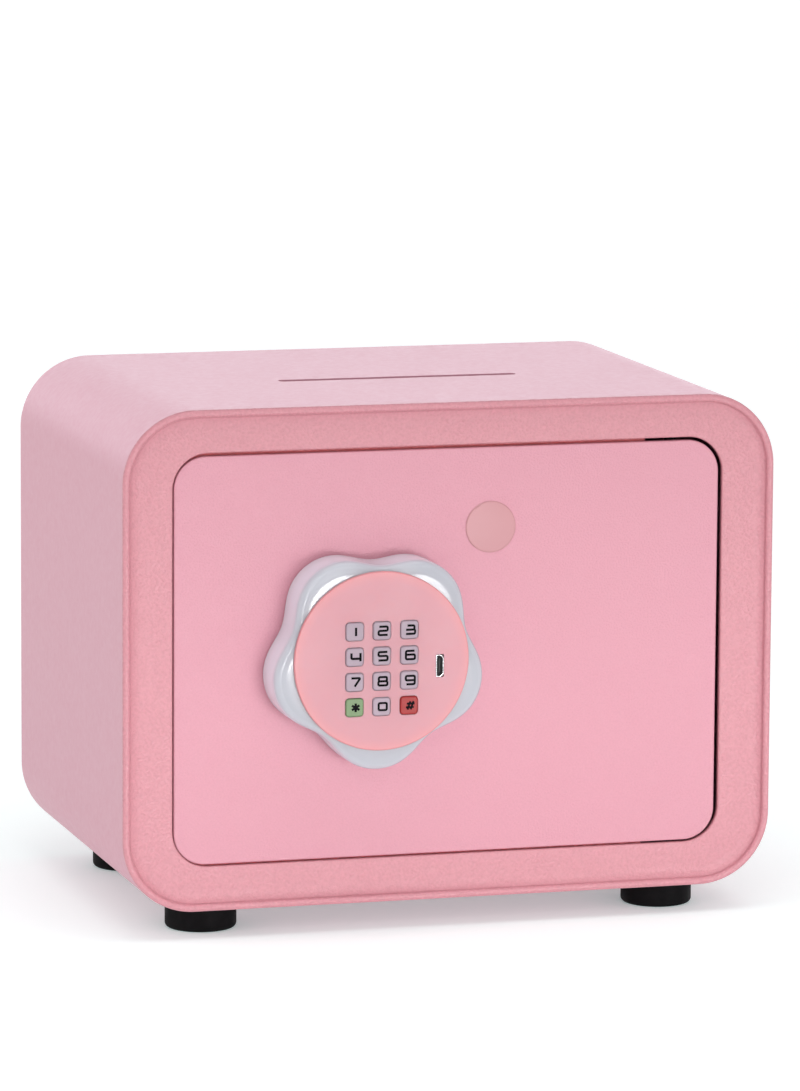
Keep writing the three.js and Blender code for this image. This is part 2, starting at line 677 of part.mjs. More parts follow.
// The lid of the battery compartment: a plate with a shallow ledge that fits inside the opening.
function batteryCover() {
  const { thickness, overhang, corner, rounding, ledgeDepth, ledgeGap } = BATTERY_LID;
  const { left, right, halfHeight, wall } = BATTERY_BOX;
  const seat = COVER_BACK + GAP;
  const lidOutline = roundedRectangle(
    left - overhang, right + overhang, -halfHeight - overhang, halfHeight + overhang, corner,
  );
  const lid = plate(lidOutline, seat, seat + thickness, rounding, 1, 3);
  const inset = wall + ledgeGap;
  const ledge = box(left + inset, right - inset, seat - ledgeDepth, seat + thickness / 2,
    -halfHeight + inset, halfHeight - inset);
  return join(lid, ledge);
}

function resetButton() {
  const { x, z, radius, proud, chamfer, skirt, skirtDepth } = RESET;
  const skirtBack = COVER.front - GAP;
  const top = COVER_BACK + proud;
  const button = turnedY([
    [0, COVER.front - skirtDepth],
    [skirt, COVER.front - skirtDepth],
    [skirt, skirtBack],
    [radius, skirtBack],
    [radius, top - chamfer],
    [radius - chamfer, top],
    [0, top],
  ], 16);
  return button.translate([x, 0, z]);
}

// ---------------------------------------------------------------- knob, drawn about its own axis

function knobBody() {
  const flower = plate(flowerOutline(), KNOB_FRONT, KNOB.back + KNOB.rounding, KNOB.rounding, 2);
  const size = FLOWER.radius + 10;
  return cut(
    flower,
    box(-size, size, KNOB.back, KNOB.back + size, -size, size),
    rodY(0, 0, KNOB_CAVITY.radius, KNOB_FRONT - PAST, KNOB_CAVITY.floorY, 32),
    rodY(0, 0, SHAFT.front + GAP, KNOB_CAVITY.floorY - PAST, KNOB.back + PAST),
  );
}

// The pink disc: a thin rim over the flower and a spigot in its cavity, pierced for the keys and the socket.
function knobFace() {
  const { radius, thickness, back, edge } = DISC;
  const rimBack = DISC_FRONT + thickness;
  const spigot = KNOB_CAVITY.radius - GAP;
  const through = [DISC_FRONT - PAST, back + PAST];
  const disc = turnedY([
    [0, DISC_FRONT],
    [radius - edge, DISC_FRONT],
    [radius - edge * 0.3, DISC_FRONT + edge * 0.3],
    [radius, DISC_FRONT + edge],
    [radius, rimBack],
    [spigot, rimBack],
    [spigot, back],
    [0, back],
  ], 40);
  const halfHole = KEY.size / 2 + KEY.clearance;
  const keyHoles = KEY_ROWS.flatMap((z) => KEY_COLUMNS.map((x) => plate(
    roundedRectangle(x - halfHole, x + halfHole, z - halfHole, z + halfHole, KEY.corner + KEY.clearance),
    ...through, 0, 0, 1,
  )));
  const usbHalf = { x: USB.width / 2 + GAP, z: USB.height / 2 + GAP };
  const usbHole = box(USB.x - usbHalf.x, USB.x + usbHalf.x, ...through, USB.z - usbHalf.z, USB.z + usbHalf.z);
  return cut(disc, ...keyHoles, usbHole);
}

function keypadBoard() {
  return rodY(0, 0, BOARD.radius, BOARD.front, BOARD.front + BOARD.thickness, 32);
}

function usbSocket() {
  const { x, z, width, height, wall, floor } = USB;
  const back = BOARD.front - REST_GAP;
  const shell = box(x - width / 2, x + width / 2, DISC_FRONT, back, z - height / 2, z + height / 2);
  const mouth = box(x - width / 2 + wall, x + width / 2 - wall, DISC_FRONT - PAST, back - floor,
    z - height / 2 + wall, z + height / 2 - wall);
  return cut(shell, mouth);
}

// A keypad key about its own centre: cap, a wider collar under the disc, and a stem above the board's switch.
function key() {
  const half = KEY.size / 2;
  const collarHalf = KEY.collar / 2;
  const collarFront = DISC.back + GAP;
  const capOutline = roundedRectangle(-half, half, -half, half, KEY.corner);
  const cap = plate(capOutline, KEY_FRONT, collarFront + GAP, 0, 0, 2);
  const collarBack = collarFront + KEY.collarDepth;
  const collar = box(-collarHalf, collarHalf, collarFront, collarBack, -collarHalf, collarHalf);
  const stem = rodY(0, 0, KEY.stem, collarFront + KEY.collarDepth / 2, BOARD.front - KEY.travel - GAP, 8);
  return join(cap, collar, stem);
}

// The hollow shaft: a flange inside the knob, the bearing length, and a thinner end with a circlip groove.
function knobShaft() {
  const flangeBack = KNOB_CAVITY.floorY - GAP;
  const { front, rear, bore, stepY, endY, flange, flangeThickness } = SHAFT;
  return turnedY([
    [bore, flangeBack - flangeThickness],
    [flange, flangeBack - flangeThickness],
    [flange, flangeBack],
    [front, flangeBack],
    [front, stepY],
    [rear, stepY],
    [rear, GROOVE.y],
    [rear - GROOVE.depth, GROOVE.y],
    [rear - GROOVE.depth, GROOVE.y + GROOVE.width],
    [rear, GROOVE.y + GROOVE.width],
    [rear, endY],
    [bore, endY],
  ]);
}

function drivePlate() {
  const { plateRadius, plateY, plateThickness, radius, pin, pinEndY } = CRANK;
  const place = radius * Math.sin(EIGHTH_TURN);
  return cut(
    join(
      rodY(0, 0, plateRadius, plateY, plateY + plateThickness),
      rodY(place, place, pin, plateY + plateThickness / 2, pinEndY, 16),
    ),
    rodY(0, 0, SHAFT.rear + GAP, plateY - PAST, plateY + plateThickness + PAST),
  );
}

function circlip() {
  const inner = SHAFT.rear - CIRCLIP.grip;
  const front = GROOVE.y + REST_GAP;
  const back = front + CIRCLIP.thickness;
  const ring = turnedY([
    [inner, front],
    [CIRCLIP.outer, front],
    [CIRCLIP.outer, back],
    [inner, back],
  ]);
  const { outer, mouth } = CIRCLIP;
  return cut(ring, box(-outer - PAST, 0, front - PAST, back + PAST, -mouth, mouth));
}

// ---------------------------------------------------------------- assembly

const safe = new THREE.Group();
safe.position.set(0, -(BODY.depth + KEY_FRONT) / 2, FOOT.height + BODY.height / 2);

add(safe, 'body_wrap', bodyWrap(), 'pinkPaint');
add(safe, 'back_panel', backPanel(), 'pinkPaint');
add(safe, 'front_frame', frontFrame(), 'pinkPaint');
add(safe, 'hinge_bracket_top', hingeBracket(1), 'zincSteel');
add(safe, 'hinge_bracket_bottom', hingeBracket(-1), 'zincSteel');
for (const { name, x, y } of footPlaces) {
  const place = new THREE.Group();
  place.position.set(x, y, -BODY.height / 2 - FOOT.height);
  safe.add(place);
  add(place, `foot_${name}`, foot(), 'blackRubber');
  add(place, `foot_screw_${name}`, footScrew(), 'zincSteel');
}

const door = new THREE.Group();
safe.add(door);
add(door, 'door_plate', doorPlate(), 'pinkPaint');
add(door, 'door_pan', doorPan(), 'pinkPaint');
add(door, 'door_back_cover', doorBackCover(), 'pinkPaint');
add(door, 'hinge_pin_top', hingePin(1), 'zincSteel');
add(door, 'hinge_pin_bottom', hingePin(-1), 'zincSteel');
add(door, 'knob_bush', knobBush().translate([KNOB.x, 0, KNOB.z]), 'brass');
add(door, 'carriage_guide', carriageGuide(), 'zincSteel');
add(door, 'solenoid_frame', solenoidFrame(), 'zincSteel');
add(door, 'solenoid_coil', solenoidCoil(), 'copperWire');
add(door, 'solenoid_plunger', solenoidPlunger(), 'zincSteel');
add(door, 'plunger_spring', plungerSpring(), 'zincSteel');
add(door, 'bolt_carriage', boltCarriage(), 'zincSteel');
add(door, 'bolt_upper', bolt(1), 'zincSteel');
add(door, 'bolt_lower', bolt(-1), 'zincSteel');
add(door, 'battery_box', batteryBox(), 'blackPlastic');
for (let i = 0; i < BATTERY.count; i += 1) {
  add(door, `battery_${i + 1}`, battery(i), 'batterySleeve');
}
add(door, 'battery_cover', batteryCover(), 'blackPlastic');
add(door, 'reset_button', resetButton(), 'redPlastic');
COVER_SCREWS.forEach((place, i) => add(door, `cover_screw_${i + 1}`, coverScrew(place), 'zincSteel'));

const lock = new THREE.Group();
lock.position.set(LOCK.x, 0, LOCK.z);
door.add(lock);
add(lock, 'lock_cylinder', lockCylinder(), 'zincSteel');
add(lock, 'lock_plug', lockPlug(), 'brass');
add(lock, 'lock_cam', lockCam(), 'zincSteel');
add(lock, 'key_cover_cap', keyCoverCap(), 'pinkPlastic');

const knob = new THREE.Group();
knob.position.set(KNOB.x, 0, KNOB.z);
door.add(knob);
add(knob, 'knob_body', knobBody(), 'whitePlastic');
add(knob, 'knob_face', knobFace(), 'pinkPlastic');
add(knob, 'keypad_board', keypadBoard(), 'circuitBoard');
add(knob, 'usb_socket', usbSocket(), 'zincSteel');
add(knob, 'knob_shaft', knobShaft(), 'zincSteel');
add(knob, 'drive_plate', drivePlate(), 'zincSteel');
add(knob, 'circlip', circlip(), 'zincSteel');

const keyFinishes = { star: 'greenPlastic', hash: 'redPlastic' };
KEY_NAMES.forEach((name, i) => {
  const mesh = add(knob, `key_${name}`, key(), keyFinishes[name] ?? 'keyPlastic');
  const column = i % KEY_COLUMNS.length;
  const row = Math.floor(i / KEY_COLUMNS.length);
  mesh.position.set(KEY_COLUMNS[column], 0, KEY_ROWS[row]);
});

const model = new THREE.Group();
model.add(safe);
model.updateMatrixWorld(true);

export default model;
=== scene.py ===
"""Looks of the toy safe coin bank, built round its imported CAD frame.

Blender 4.5, metres, in the frame's own axes: +X right, +Y to the back, +Z up, floor at z = 0.
Places come from the frame's boxes. The small sizes below are the roundings and surfaces that the frame
leaves out.
"""

import math

import bmesh
import bpy
from mathutils import Matrix, Vector


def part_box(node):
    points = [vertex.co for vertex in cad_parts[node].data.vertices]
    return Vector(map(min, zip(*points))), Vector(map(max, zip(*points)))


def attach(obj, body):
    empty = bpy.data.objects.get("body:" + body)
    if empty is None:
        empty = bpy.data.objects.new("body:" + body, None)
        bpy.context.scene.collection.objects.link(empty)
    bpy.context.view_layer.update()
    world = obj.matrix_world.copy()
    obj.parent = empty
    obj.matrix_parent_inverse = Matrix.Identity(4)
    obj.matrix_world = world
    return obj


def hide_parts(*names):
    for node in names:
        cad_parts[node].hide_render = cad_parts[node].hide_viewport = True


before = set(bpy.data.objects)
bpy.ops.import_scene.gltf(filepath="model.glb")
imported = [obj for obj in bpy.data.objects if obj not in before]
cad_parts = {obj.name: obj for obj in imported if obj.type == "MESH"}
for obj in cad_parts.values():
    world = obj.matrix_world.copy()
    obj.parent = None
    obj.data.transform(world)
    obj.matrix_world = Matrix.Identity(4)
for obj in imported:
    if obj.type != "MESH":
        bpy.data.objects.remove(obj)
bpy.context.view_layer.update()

MM = 0.001
TAU = 2 * math.pi

# ---------------------------------------------------------------- places read from the frame


def middle(node):
    """The middle of a CAD node's box."""
    low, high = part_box(node)
    return (low + high) / 2


def cad_radius(node):
    """Half the width of a round CAD node."""
    low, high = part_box(node)
    return (high.x - low.x) / 2


WRAP_LOW, WRAP_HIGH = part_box("body_wrap")
DOOR_LOW, DOOR_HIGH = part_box("door_plate")
FLANGE_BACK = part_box("front_frame")[1].y
RIM_Y = WRAP_LOW.y
BACK_Y = WRAP_HIGH.y
BODY_Z = (WRAP_LOW.z + WRAP_HIGH.z) / 2
HALF_WIDTH = WRAP_HIGH.x
HALF_HEIGHT = (WRAP_HIGH.z - WRAP_LOW.z) / 2
FACE_Y = DOOR_LOW.y
KNOB_X, _, KNOB_Z = middle("knob_shaft")
KNOB_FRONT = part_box("knob_body")[0].y
KNOB_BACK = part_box("knob_body")[1].y
DISC_LOW, DISC_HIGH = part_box("knob_face")
DISC_RADIUS = cad_radius("knob_face")
COVER_X, _, COVER_Z = middle("key_cover_cap")
COVER_RADIUS = cad_radius("key_cover_cap")
FOOT_NAMES = ("front_left", "front_right", "back_left", "back_right")
KEY_NAMES = ("1", "2", "3", "4", "5", "6", "7", "8", "9", "star", "0", "hash")

# ---------------------------------------------------------------- sizes of the fine surface

# The bent sheet, its rolled lip and folded hem, and the money slot.
BODY_CORNER = 25 * MM
SHEET = 1.5 * MM
SHEET_EDGE = 0.4 * MM
LIP = 2.6 * MM
HEM_BACK = 2.7 * MM
HEM_EDGE = 0.3 * MM
SLOT_LENGTH = 86 * MM
SLOT_WIDTH = 4.5 * MM
SLOT_Y = RIM_Y + 68.6 * MM
CUT_REACH = 6 * MM

# The face round the door, its opening and the fillet up to the lip.
OPEN_HALF_WIDTH = 97.1 * MM
OPEN_HALF_HEIGHT = 70.5 * MM
OPEN_CORNER = 12.3 * MM
OPEN_EDGE = 0.7 * MM
FRAME_SHEET = 2 * MM
FRAME_FIT = 0.02 * MM
FRAME_STEPS = 24
FILLET_ACROSS = 4.2 * MM
FILLET_DEEP = 1.7 * MM

# The flange that the bolts shoot through, and the folded strip that stops the door.
FLANGE_HALF = 58 * MM
FLANGE_SHEET = 2 * MM
FLANGE_EDGE = 0.8 * MM
BOLT_HOLE = 6 * MM
STOP_RIGHT = 70 * MM
STOP_FRONT = FACE_Y + 3.3 * MM
STOP_SHEET = 1.4 * MM
STOP_LIP = 3.9 * MM
STOP_WALL = 1.4 * MM
STOP_EDGE = 0.2 * MM

# The rubber feet and their sheet-metal screws.
FOOT_BORE = 5 * MM
FOOT_SEAT = 5.2 * MM
FOOT_SOLE_EDGE = 1.6 * MM
FOOT_CHAMFER = 0.3 * MM
FOOT_OVERLAP = 0.1 * MM
SCREW_HOLE = 2.3 * MM
SCREW_HEAD = 4 * MM
SCREW_HEAD_TOP = 5.1 * MM
SCREW_NECK = 0.4 * MM
SCREW_POINT = 1 * MM
SCREW_ROOT = 1.55 * MM
SCREW_THREAD = 1.9 * MM
SCREW_TURNS = 9

# The door plate and the cap over its lock.
DOOR_CORNER = 11 * MM
DOOR_GROWN = 0.25 * MM
DOOR_FRONT_EDGE = 0.55 * MM
DOOR_BACK_EDGE = 0.2 * MM
LOCK_HOLE = 8 * MM
KNOB_HOLE = 9.5 * MM
COVER_SEAT = FACE_Y - 0.05 * MM
COVER_RISE = 0.95 * MM
COVER_EDGE = 0.35 * MM
COVER_PLUG = 7.6 * MM
COVER_PLUG_DEEP = 1.4 * MM
COVER_NOTCH_HALF = 1.5 * MM
COVER_NOTCH_DEEP = 0.55 * MM
COVER_NOTCH_TURN = math.radians(-32)

# ---------------------------------------------------------------- meshes


def make_object(name, vertices, faces):
    """A mesh object in the scene, from points and faces."""
    mesh = bpy.data.meshes.new(name)
    mesh.from_pydata([tuple(v) for v in vertices], [], faces)
    mesh.validate()
    obj = bpy.data.objects.new(name, mesh)
    bpy.context.scene.collection.objects.link(obj)
    return obj


def tidy_normals(obj):
    """Merges points at the same place and turns every face outwards."""
    work = bmesh.new()
    work.from_mesh(obj.data)
    bmesh.ops.remove_doubles(work, verts=work.verts, dist=1e-7)
    bmesh.ops.recalc_face_normals(work, faces=work.faces)
    work.to_mesh(obj.data)
    work.free()
    return obj


def loft(name, rings, closed=False, caps=(True, True)):
    """A skin through rings of equally many points. closed joins the last ring to the first."""
    count = len(rings[0])
    vertices = [point for one in rings for point in one]
    faces = []
    spans = len(rings) if closed else len(rings) - 1
    for i in range(spans):
        a = i * count
        b = ((i + 1) % len(rings)) * count
        for j in range(count):
            k = (j + 1) % count
            faces.append((a + j, a + k, b + k, b + j))
    if not closed and caps[0]:
        faces.append(tuple(range(count)))
    if not closed and caps[1]:
        faces.append(tuple(range(len(vertices) - count, len(vertices))))
    return tidy_normals(make_object(name, vertices, faces))


def turned(name, profile, centre=(0, 0, 0), axis="Y", steps=96, closed=False):
    """A turned piece. profile is (radius, place along the axis); a zero radius closes it on the axis."""
    c = Vector(centre)
    rings = []
    for radius, along in profile:
        one = []
        for i in range(steps):
            angle = TAU * i / steps
            u, v = radius * math.cos(angle), radius * math.sin(angle)
            local = {"X": (along, u, v), "Y": (u, along, v), "Z": (u, v, along)}[axis]
            one.append(c + Vector(local))
        rings.append(one)
    return loft(name, rings, closed=closed, caps=(profile[0][0] > 0, profile[-1][0] > 0))


def arc(centre, radius, start, end, steps):
    """Points (u, v) on a circle from angle start to angle end, in degrees, both ends included."""
    points = []
    for i in range(steps + 1):
        angle = math.radians(start + (end - start) * i / steps)
        points.append((centre[0] + radius * math.cos(angle), centre[1] + radius * math.sin(angle)))
    return points


def rounded_rectangle(x0, x1, z0, z1, radius, steps=16):
    """Outline points (x, z), anticlockwise seen from the front."""
    points = []
    corners = [(x1, z0, -1, 1, -90), (x1, z1, -1, -1, 0), (x0, z1, 1, -1, 90), (x0, z0, 1, 1, 180)]
    for x, z, sx, sz, start in corners:
        points += arc((x + sx * radius, z + sz * radius), radius, start, start + 90, steps)
    return points


def at_depth(outline, y):
    """An outline's points (x, z), placed at a depth."""
    return [Vector((x, y, z)) for x, z in outline]


def body_outline(inset, steps=24):
    """The body's rounded outline, moved inwards."""
    return rounded_rectangle(
        -HALF_WIDTH + inset, HALF_WIDTH - inset,
        BODY_Z - HALF_HEIGHT + inset, BODY_Z + HALF_HEIGHT - inset,
        BODY_CORNER - inset, steps,
    )


def rounding(radius, steps):
    """Pairs (inset, depth) round an edge, from its face to its side. A sharp edge has one pair."""
    if not radius:
        return [(0, 0)]
    return [(radius - u, radius - v) for u, v in arc((0, 0), radius, 90, 0, steps)]


def slab(name, outline, front, back, front_round=0.0, back_round=0.0, steps=5):
    """A plate with rounded front and back edges. outline(inset) gives the points at that inset."""
    rings = [at_depth(outline(inset), front + deep) for inset, deep in rounding(front_round, steps)]
    rings += [at_depth(outline(inset), back - deep) for inset, deep in reversed(rounding(back_round, steps))]
    return loft(name, rings)


def boxed(name, low, high):
    """A plain box between two corners, used only to cut with."""
    (x0, y0, z0), (x1, y1, z1) = low, high
    vertices = [(x, y, z) for x in (x0, x1) for y in (y0, y1) for z in (z0, z1)]
    faces = [(0, 1, 3, 2), (4, 6, 7, 5), (0, 4, 5, 1), (2, 3, 7, 6), (0, 2, 6, 4), (1, 5, 7, 3)]
    return tidy_normals(make_object(name, vertices, faces))


def cut(obj, cutters):
    """Takes the cutters away from the object, then removes them."""
    for cutter in cutters:
        modifier = obj.modifiers.new("cut", "BOOLEAN")
        modifier.operation = "DIFFERENCE"
        modifier.solver = "EXACT"
        modifier.object = cutter
    graph = bpy.context.evaluated_depsgraph_get()
    made = bpy.data.meshes.new_from_object(obj.evaluated_get(graph))
    obj.modifiers.clear()
    obj.data = made
    for cutter in cutters:
        bpy.data.objects.remove(cutter)
    return obj


def smooth(obj, sharp_degrees=35):
    """Smooth shading that keeps sharp edges and lets large faces stay flat."""
    obj.data.shade_smooth()
    obj.data.set_sharp_from_angle(angle=math.radians(sharp_degrees))
    weighted = obj.modifiers.new("weighted normals", "WEIGHTED_NORMAL")
    weighted.keep_sharp = True
    weighted.weight = 100
    return obj


def place(obj, body, slot, material, *nodes, sharp_degrees=35):
    """Finishes a piece: shading, material, the body it rides on and the CAD nodes it stands for."""
    obj.data.materials.clear()
    obj.data.materials.append(material)
    if obj.type == "MESH":
        smooth(obj, sharp_degrees)
    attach(obj, body)
    if nodes:
        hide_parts(*nodes)
    return obj


# ---------------------------------------------------------------- materials


# Most noise values lie between these two.
NOISE_LOW, NOISE_HIGH = 0.3, 0.7


def fill(node, values):
    """Sets a node's sockets from a dictionary. An underscore stands for a space in a socket's name."""
    for name, value in values.items():
        node.inputs[name.replace("_", " ")].default_value = value


class Nodes:
    """A material's node tree, with short calls for the nodes that the finishes share."""

    def __init__(self, name):
        self.material = bpy.data.materials.new(name)
        self.material.use_nodes = True
        self.tree = self.material.node_tree
        self.shader = self.tree.nodes["Principled BSDF"]
        self.space = self.add("ShaderNodeTexCoord").outputs["Object"]

    def add(self, kind, **values):
        """A new node, with values for its sockets."""
        node = self.tree.nodes.new(kind)
        fill(node, values)
        return node

    def link(self, source, socket):
        self.tree.links.new(source, socket)

    def set(self, **values):
        """Sets the shader's own sockets."""
        fill(self.shader, values)

    def noise(self, scale, detail=2.0, roughness=0.5, stretch=None):
        """Noise with scale features in a metre of the piece's own space."""
        node = self.add("ShaderNodeTexNoise", Scale=scale, Detail=detail, Roughness=roughness)
        source = self.space
        if stretch is not None:
            mapping = self.add("ShaderNodeMapping", Scale=stretch)
            self.link(source, mapping.inputs["Vector"])
            source = mapping.outputs["Vector"]
        self.link(source, node.inputs["Vector"])
        return node.outputs["Fac"]

    def vector(self, operation, source, other=None):
        """A vector node that works on source, and on a constant where the operation takes two."""
        node = self.add("ShaderNodeVectorMath")
        node.operation = operation
        self.link(source, node.inputs[0])
        if other is not None:
            node.inputs[1].default_value = other
        return node.outputs

    def spread(self, value, start, end, low=0.0, high=1.0):
        """Maps a value's way from start to end onto low to high, and stops there."""
        node = self.add("ShaderNodeMapRange", From_Min=start, From_Max=end, To_Min=low, To_Max=high)
        self.link(value, node.inputs["Value"])
        return node.outputs["Result"]

    def distance(self, x, z, reach):
        """Distance from an axis along Y, as a share of reach."""
        flat = self.vector("MULTIPLY", self.space, (1, 0, 1))["Vector"]
        apart = self.vector("DISTANCE", flat, (x, 0, z))["Value"]
        return self.spread(apart, 0, reach)

    def depth(self, front, back):
        """Place between two depths along Y, from 0 at the front one to 1 at the back one."""
        split = self.add("ShaderNodeSeparateXYZ")
        self.link(self.space, split.inputs["Vector"])
        return self.spread(split.outputs["Y"], front, back)

    def colours(self, factor, stops, socket="Base Color"):
        """Colour ramp over a factor. stops are (position, colour)."""
        node = self.add("ShaderNodeValToRGB")
        elements = node.color_ramp.elements
        while len(elements) < len(stops):
            elements.new(0.5)
        for element, (position, colour) in zip(elements, stops):
            element.position = position
            element.color = (*colour, 1)
        self.link(factor, node.inputs["Fac"])
        self.link(node.outputs["Color"], self.shader.inputs[socket])

    def mottle(self, factor, colour, spread):
        """Base colour that wanders a little below and above a colour."""
        low, high = around(colour, spread)
        self.colours(factor, [(NOISE_LOW, low), (NOISE_HIGH, high)])

    def vary(self, socket, factor, low, high):
        """Lets a shader value follow noise between two limits."""
        self.link(self.spread(factor, NOISE_LOW, NOISE_HIGH, low, high), self.shader.inputs[socket])

    def bumps(self, *layers):
        """Stacked bumps. Each layer is (height factor, depth)."""
        previous = None
        for factor, depth in layers:
            node = self.add("ShaderNodeBump", Strength=1.0, Distance=depth)
            self.link(factor, node.inputs["Height"])
            if previous is not None:
                self.link(previous, node.inputs["Normal"])
            previous = node.outputs["Normal"]
        self.link(previous, self.shader.inputs["Normal"])


def linear(*display):
    """A linear colour from display values 0 to 255."""
    shares = [value / 255 for value in display]
    return tuple(v / 12.92 if v <= 0.04045 else ((v + 0.055) / 1.055) ** 2.4 for v in shares)


def around(colour, spread):
    """Two shades a little below and above a colour."""
    return tuple(c * (1 - spread) for c in colour), tuple(min(1.0, c * (1 + spread)) for c in colour)


def powder_paint(name, colour, peel, peel_depth, grain_depth, roughness, painted_relief_shade=0.04):
    """Baked powder paint: fine grain over an orange peel.

    peel is the number of dimples in a metre and the two depths are in metres. The last value is painted shade
    and light on the relief: how much darker the colour is in the dimples and lighter on the ridges.
    """
    n = Nodes(name)
    dimples = n.noise(peel, 2)
    n.set(Specular_IOR_Level=0.5)
    # Painted shade and light: the colour follows the peel's height, darker in the dimples and lighter on the
    # ridges.
    n.mottle(dimples, colour, painted_relief_shade)
    n.vary("Roughness", n.noise(peel / 3, 2), roughness - 0.05, roughness + 0.05)
    n.bumps((dimples, peel_depth), (n.noise(peel * 2.5, 2), grain_depth))
    return n.material


def plastic(name, colour, roughness, grain=0.002 * MM, spread=0.02, specular=0.5):
    """Moulded plastic with a faint cloudiness. grain is the depth of its moulded texture."""
    n = Nodes(name)
    n.set(Specular_IOR_Level=specular)
    n.mottle(n.noise(40, 2), colour, spread)
    n.vary("Roughness", n.noise(90, 3), roughness * 0.9, roughness * 1.15)
    n.bumps((n.noise(900, 2), grain))
    return n.material


def disc_plastic(name):
    """The keypad's satin plastic, with painted shade and light: a little greyer and darker in its middle, and
    warmer and brighter towards its rim as a painted rim glow.
    """
    n = Nodes(name)
    n.set(Subsurface_Weight=0.5, Subsurface_Radius=(1.0, 0.4, 0.35), Subsurface_Scale=1.5 * MM)
    # Painted shade and light: the colour grows from a darker, greyer middle to a brighter, warmer rim.
    n.colours(n.distance(KNOB_X, KNOB_Z, DISC_RADIUS), [
        (0.0, (0.51, 0.230, 0.265)), (0.45, (0.52, 0.237, 0.273)),
        (0.88, (0.56, 0.250, 0.289)), (0.99, (0.62, 0.258, 0.28)),
    ])
    n.vary("Roughness", n.noise(90, 3), 0.34, 0.43)
    n.bumps((n.noise(900, 2), 0.004 * MM))
    return n.material


def knob_plastic(name):
    """The knob's white gloss plastic, with painted light on its side walls: the colour grows brighter and
    bluer from the front shoulder back towards the door.
    """
    n = Nodes(name)
    shoulder_reach = 6 * MM
    n.set(Coat_Weight=0.4, Coat_Roughness=0.09)
    n.set(Subsurface_Weight=0.5, Subsurface_Radius=(1, 1, 1), Subsurface_Scale=6 * MM)
    # Painted light: the base colour runs from a darker front shoulder to brighter side walls, standing in for
    # light on the walls.
    n.colours(n.depth(KNOB_FRONT, KNOB_FRONT + shoulder_reach), [
        (0.1, (0.44, 0.44, 0.485)), (0.35, (0.47, 0.475, 0.53)),
        (0.6, (0.71, 0.77, 0.85)), (1.0, (0.74, 0.81, 0.89)),
    ])
    n.vary("Roughness", n.noise(90, 3), 0.19, 0.24)
    n.bumps((n.noise(900, 2), 0.002 * MM))
    return n.material


def metal(name, colour, roughness, stretch=(1, 1, 1), scratches=0.004 * MM):
    """Bare metal. stretch squeezes the noise along an axis into brush or winding lines."""
    n = Nodes(name)
    n.set(Metallic=1.0)
    n.mottle(n.noise(120, 4, 0.6, stretch), colour, 0.08)
    n.vary("Roughness", n.noise(260, 4, 0.6, stretch), roughness * 0.8, roughness * 1.3)
    n.bumps((n.noise(700, 3, 0.6, stretch), scratches))
    return n.material


def rubber(name, colour):
    """Matt black rubber with a rough moulded skin."""
    n = Nodes(name)
    n.set(Specular_IOR_Level=0.12)
    n.mottle(n.noise(300, 4), colour, 0.25)
    n.vary("Roughness", n.noise(200, 3), 0.6, 0.8)
    n.bumps((n.noise(1800, 3), 0.02 * MM))
    return n.material


BODY_PAINT = powder_paint("body paint", (0.613, 0.288, 0.358), 1500, 0.008 * MM, 0.004 * MM, 0.42, 0.008)
FRAME_PAINT = powder_paint("frame paint", (0.575, 0.238, 0.277), 1050, 0.33 * MM, 0.03 * MM, 0.34, 0.06)
DOOR_PAINT = powder_paint("door paint", (0.602, 0.261, 0.324), 1500, 0.2 * MM, 0.03 * MM, 0.36, 0.03)
# Painted light: the strip behind the door's gap is a brighter, redder copy of the pink paint, standing in for
# red light bounced about inside the gap.
STOP_PAINTED_BOUNCE = powder_paint("stop paint with painted red bounce", (0.88, 0.25, 0.27), 900, 0.2 * MM, 0.05 * MM, 0.5)
KNOB_WHITE = knob_plastic("white gloss plastic")
DISC_PINK = disc_plastic("pink satin plastic")
CAP_PINK = plastic("cap plastic", (0.53, 0.252, 0.272), 0.42, grain=0.006 * MM)
KEY_GREY = plastic("grey translucent rubber", (0.335, 0.255, 0.305), 0.45, spread=0.05)
KEY_GREEN = plastic("green translucent rubber", (0.15, 0.225, 0.108), 0.45, spread=0.06)
KEY_RED = plastic("red translucent rubber", (0.30, 0.010, 0.009), 0.45, spread=0.08)
INK = plastic("black key ink", (0.003, 0.0025, 0.004), 0.7, specular=0.1)
BLACK_PLASTIC = plastic("black moulded plastic", linear(26, 26, 28), 0.5, grain=0.02 * MM, spread=0.15)
RED_PLASTIC = plastic("red moulded plastic", linear(190, 36, 36), 0.3)
FOOT_RUBBER = rubber("black foot rubber", (0.0035, 0.003, 0.0036))
ZINC = metal("zinc plated steel", linear(196, 200, 206), 0.32)
# Painted shade: the hinge brackets and pins are made near black so that the gap on the hinge side reads as
# dark shade and shows no glint.
HINGE_PAINTED_SHADE = metal("hinge steel darkened as painted shade", (0.02, 0.02, 0.022), 0.5)
BRIGHT = metal("bright steel", linear(214, 214, 216), 0.14, stretch=(1, 6, 6))
BRASS = metal("turned brass", linear(206, 170, 92), 0.25)
COPPER = metal("enamelled copper", linear(176, 96, 52), 0.3, stretch=(1, 1, 14), scratches=0.06 * MM)
BOARD_GREEN = plastic("circuit board", linear(26, 96, 54), 0.4, spread=0.15)
SLEEVE = plastic("battery sleeve", linear(44, 46, 52), 0.25, spread=0.1)

# ---------------------------------------------------------------- body


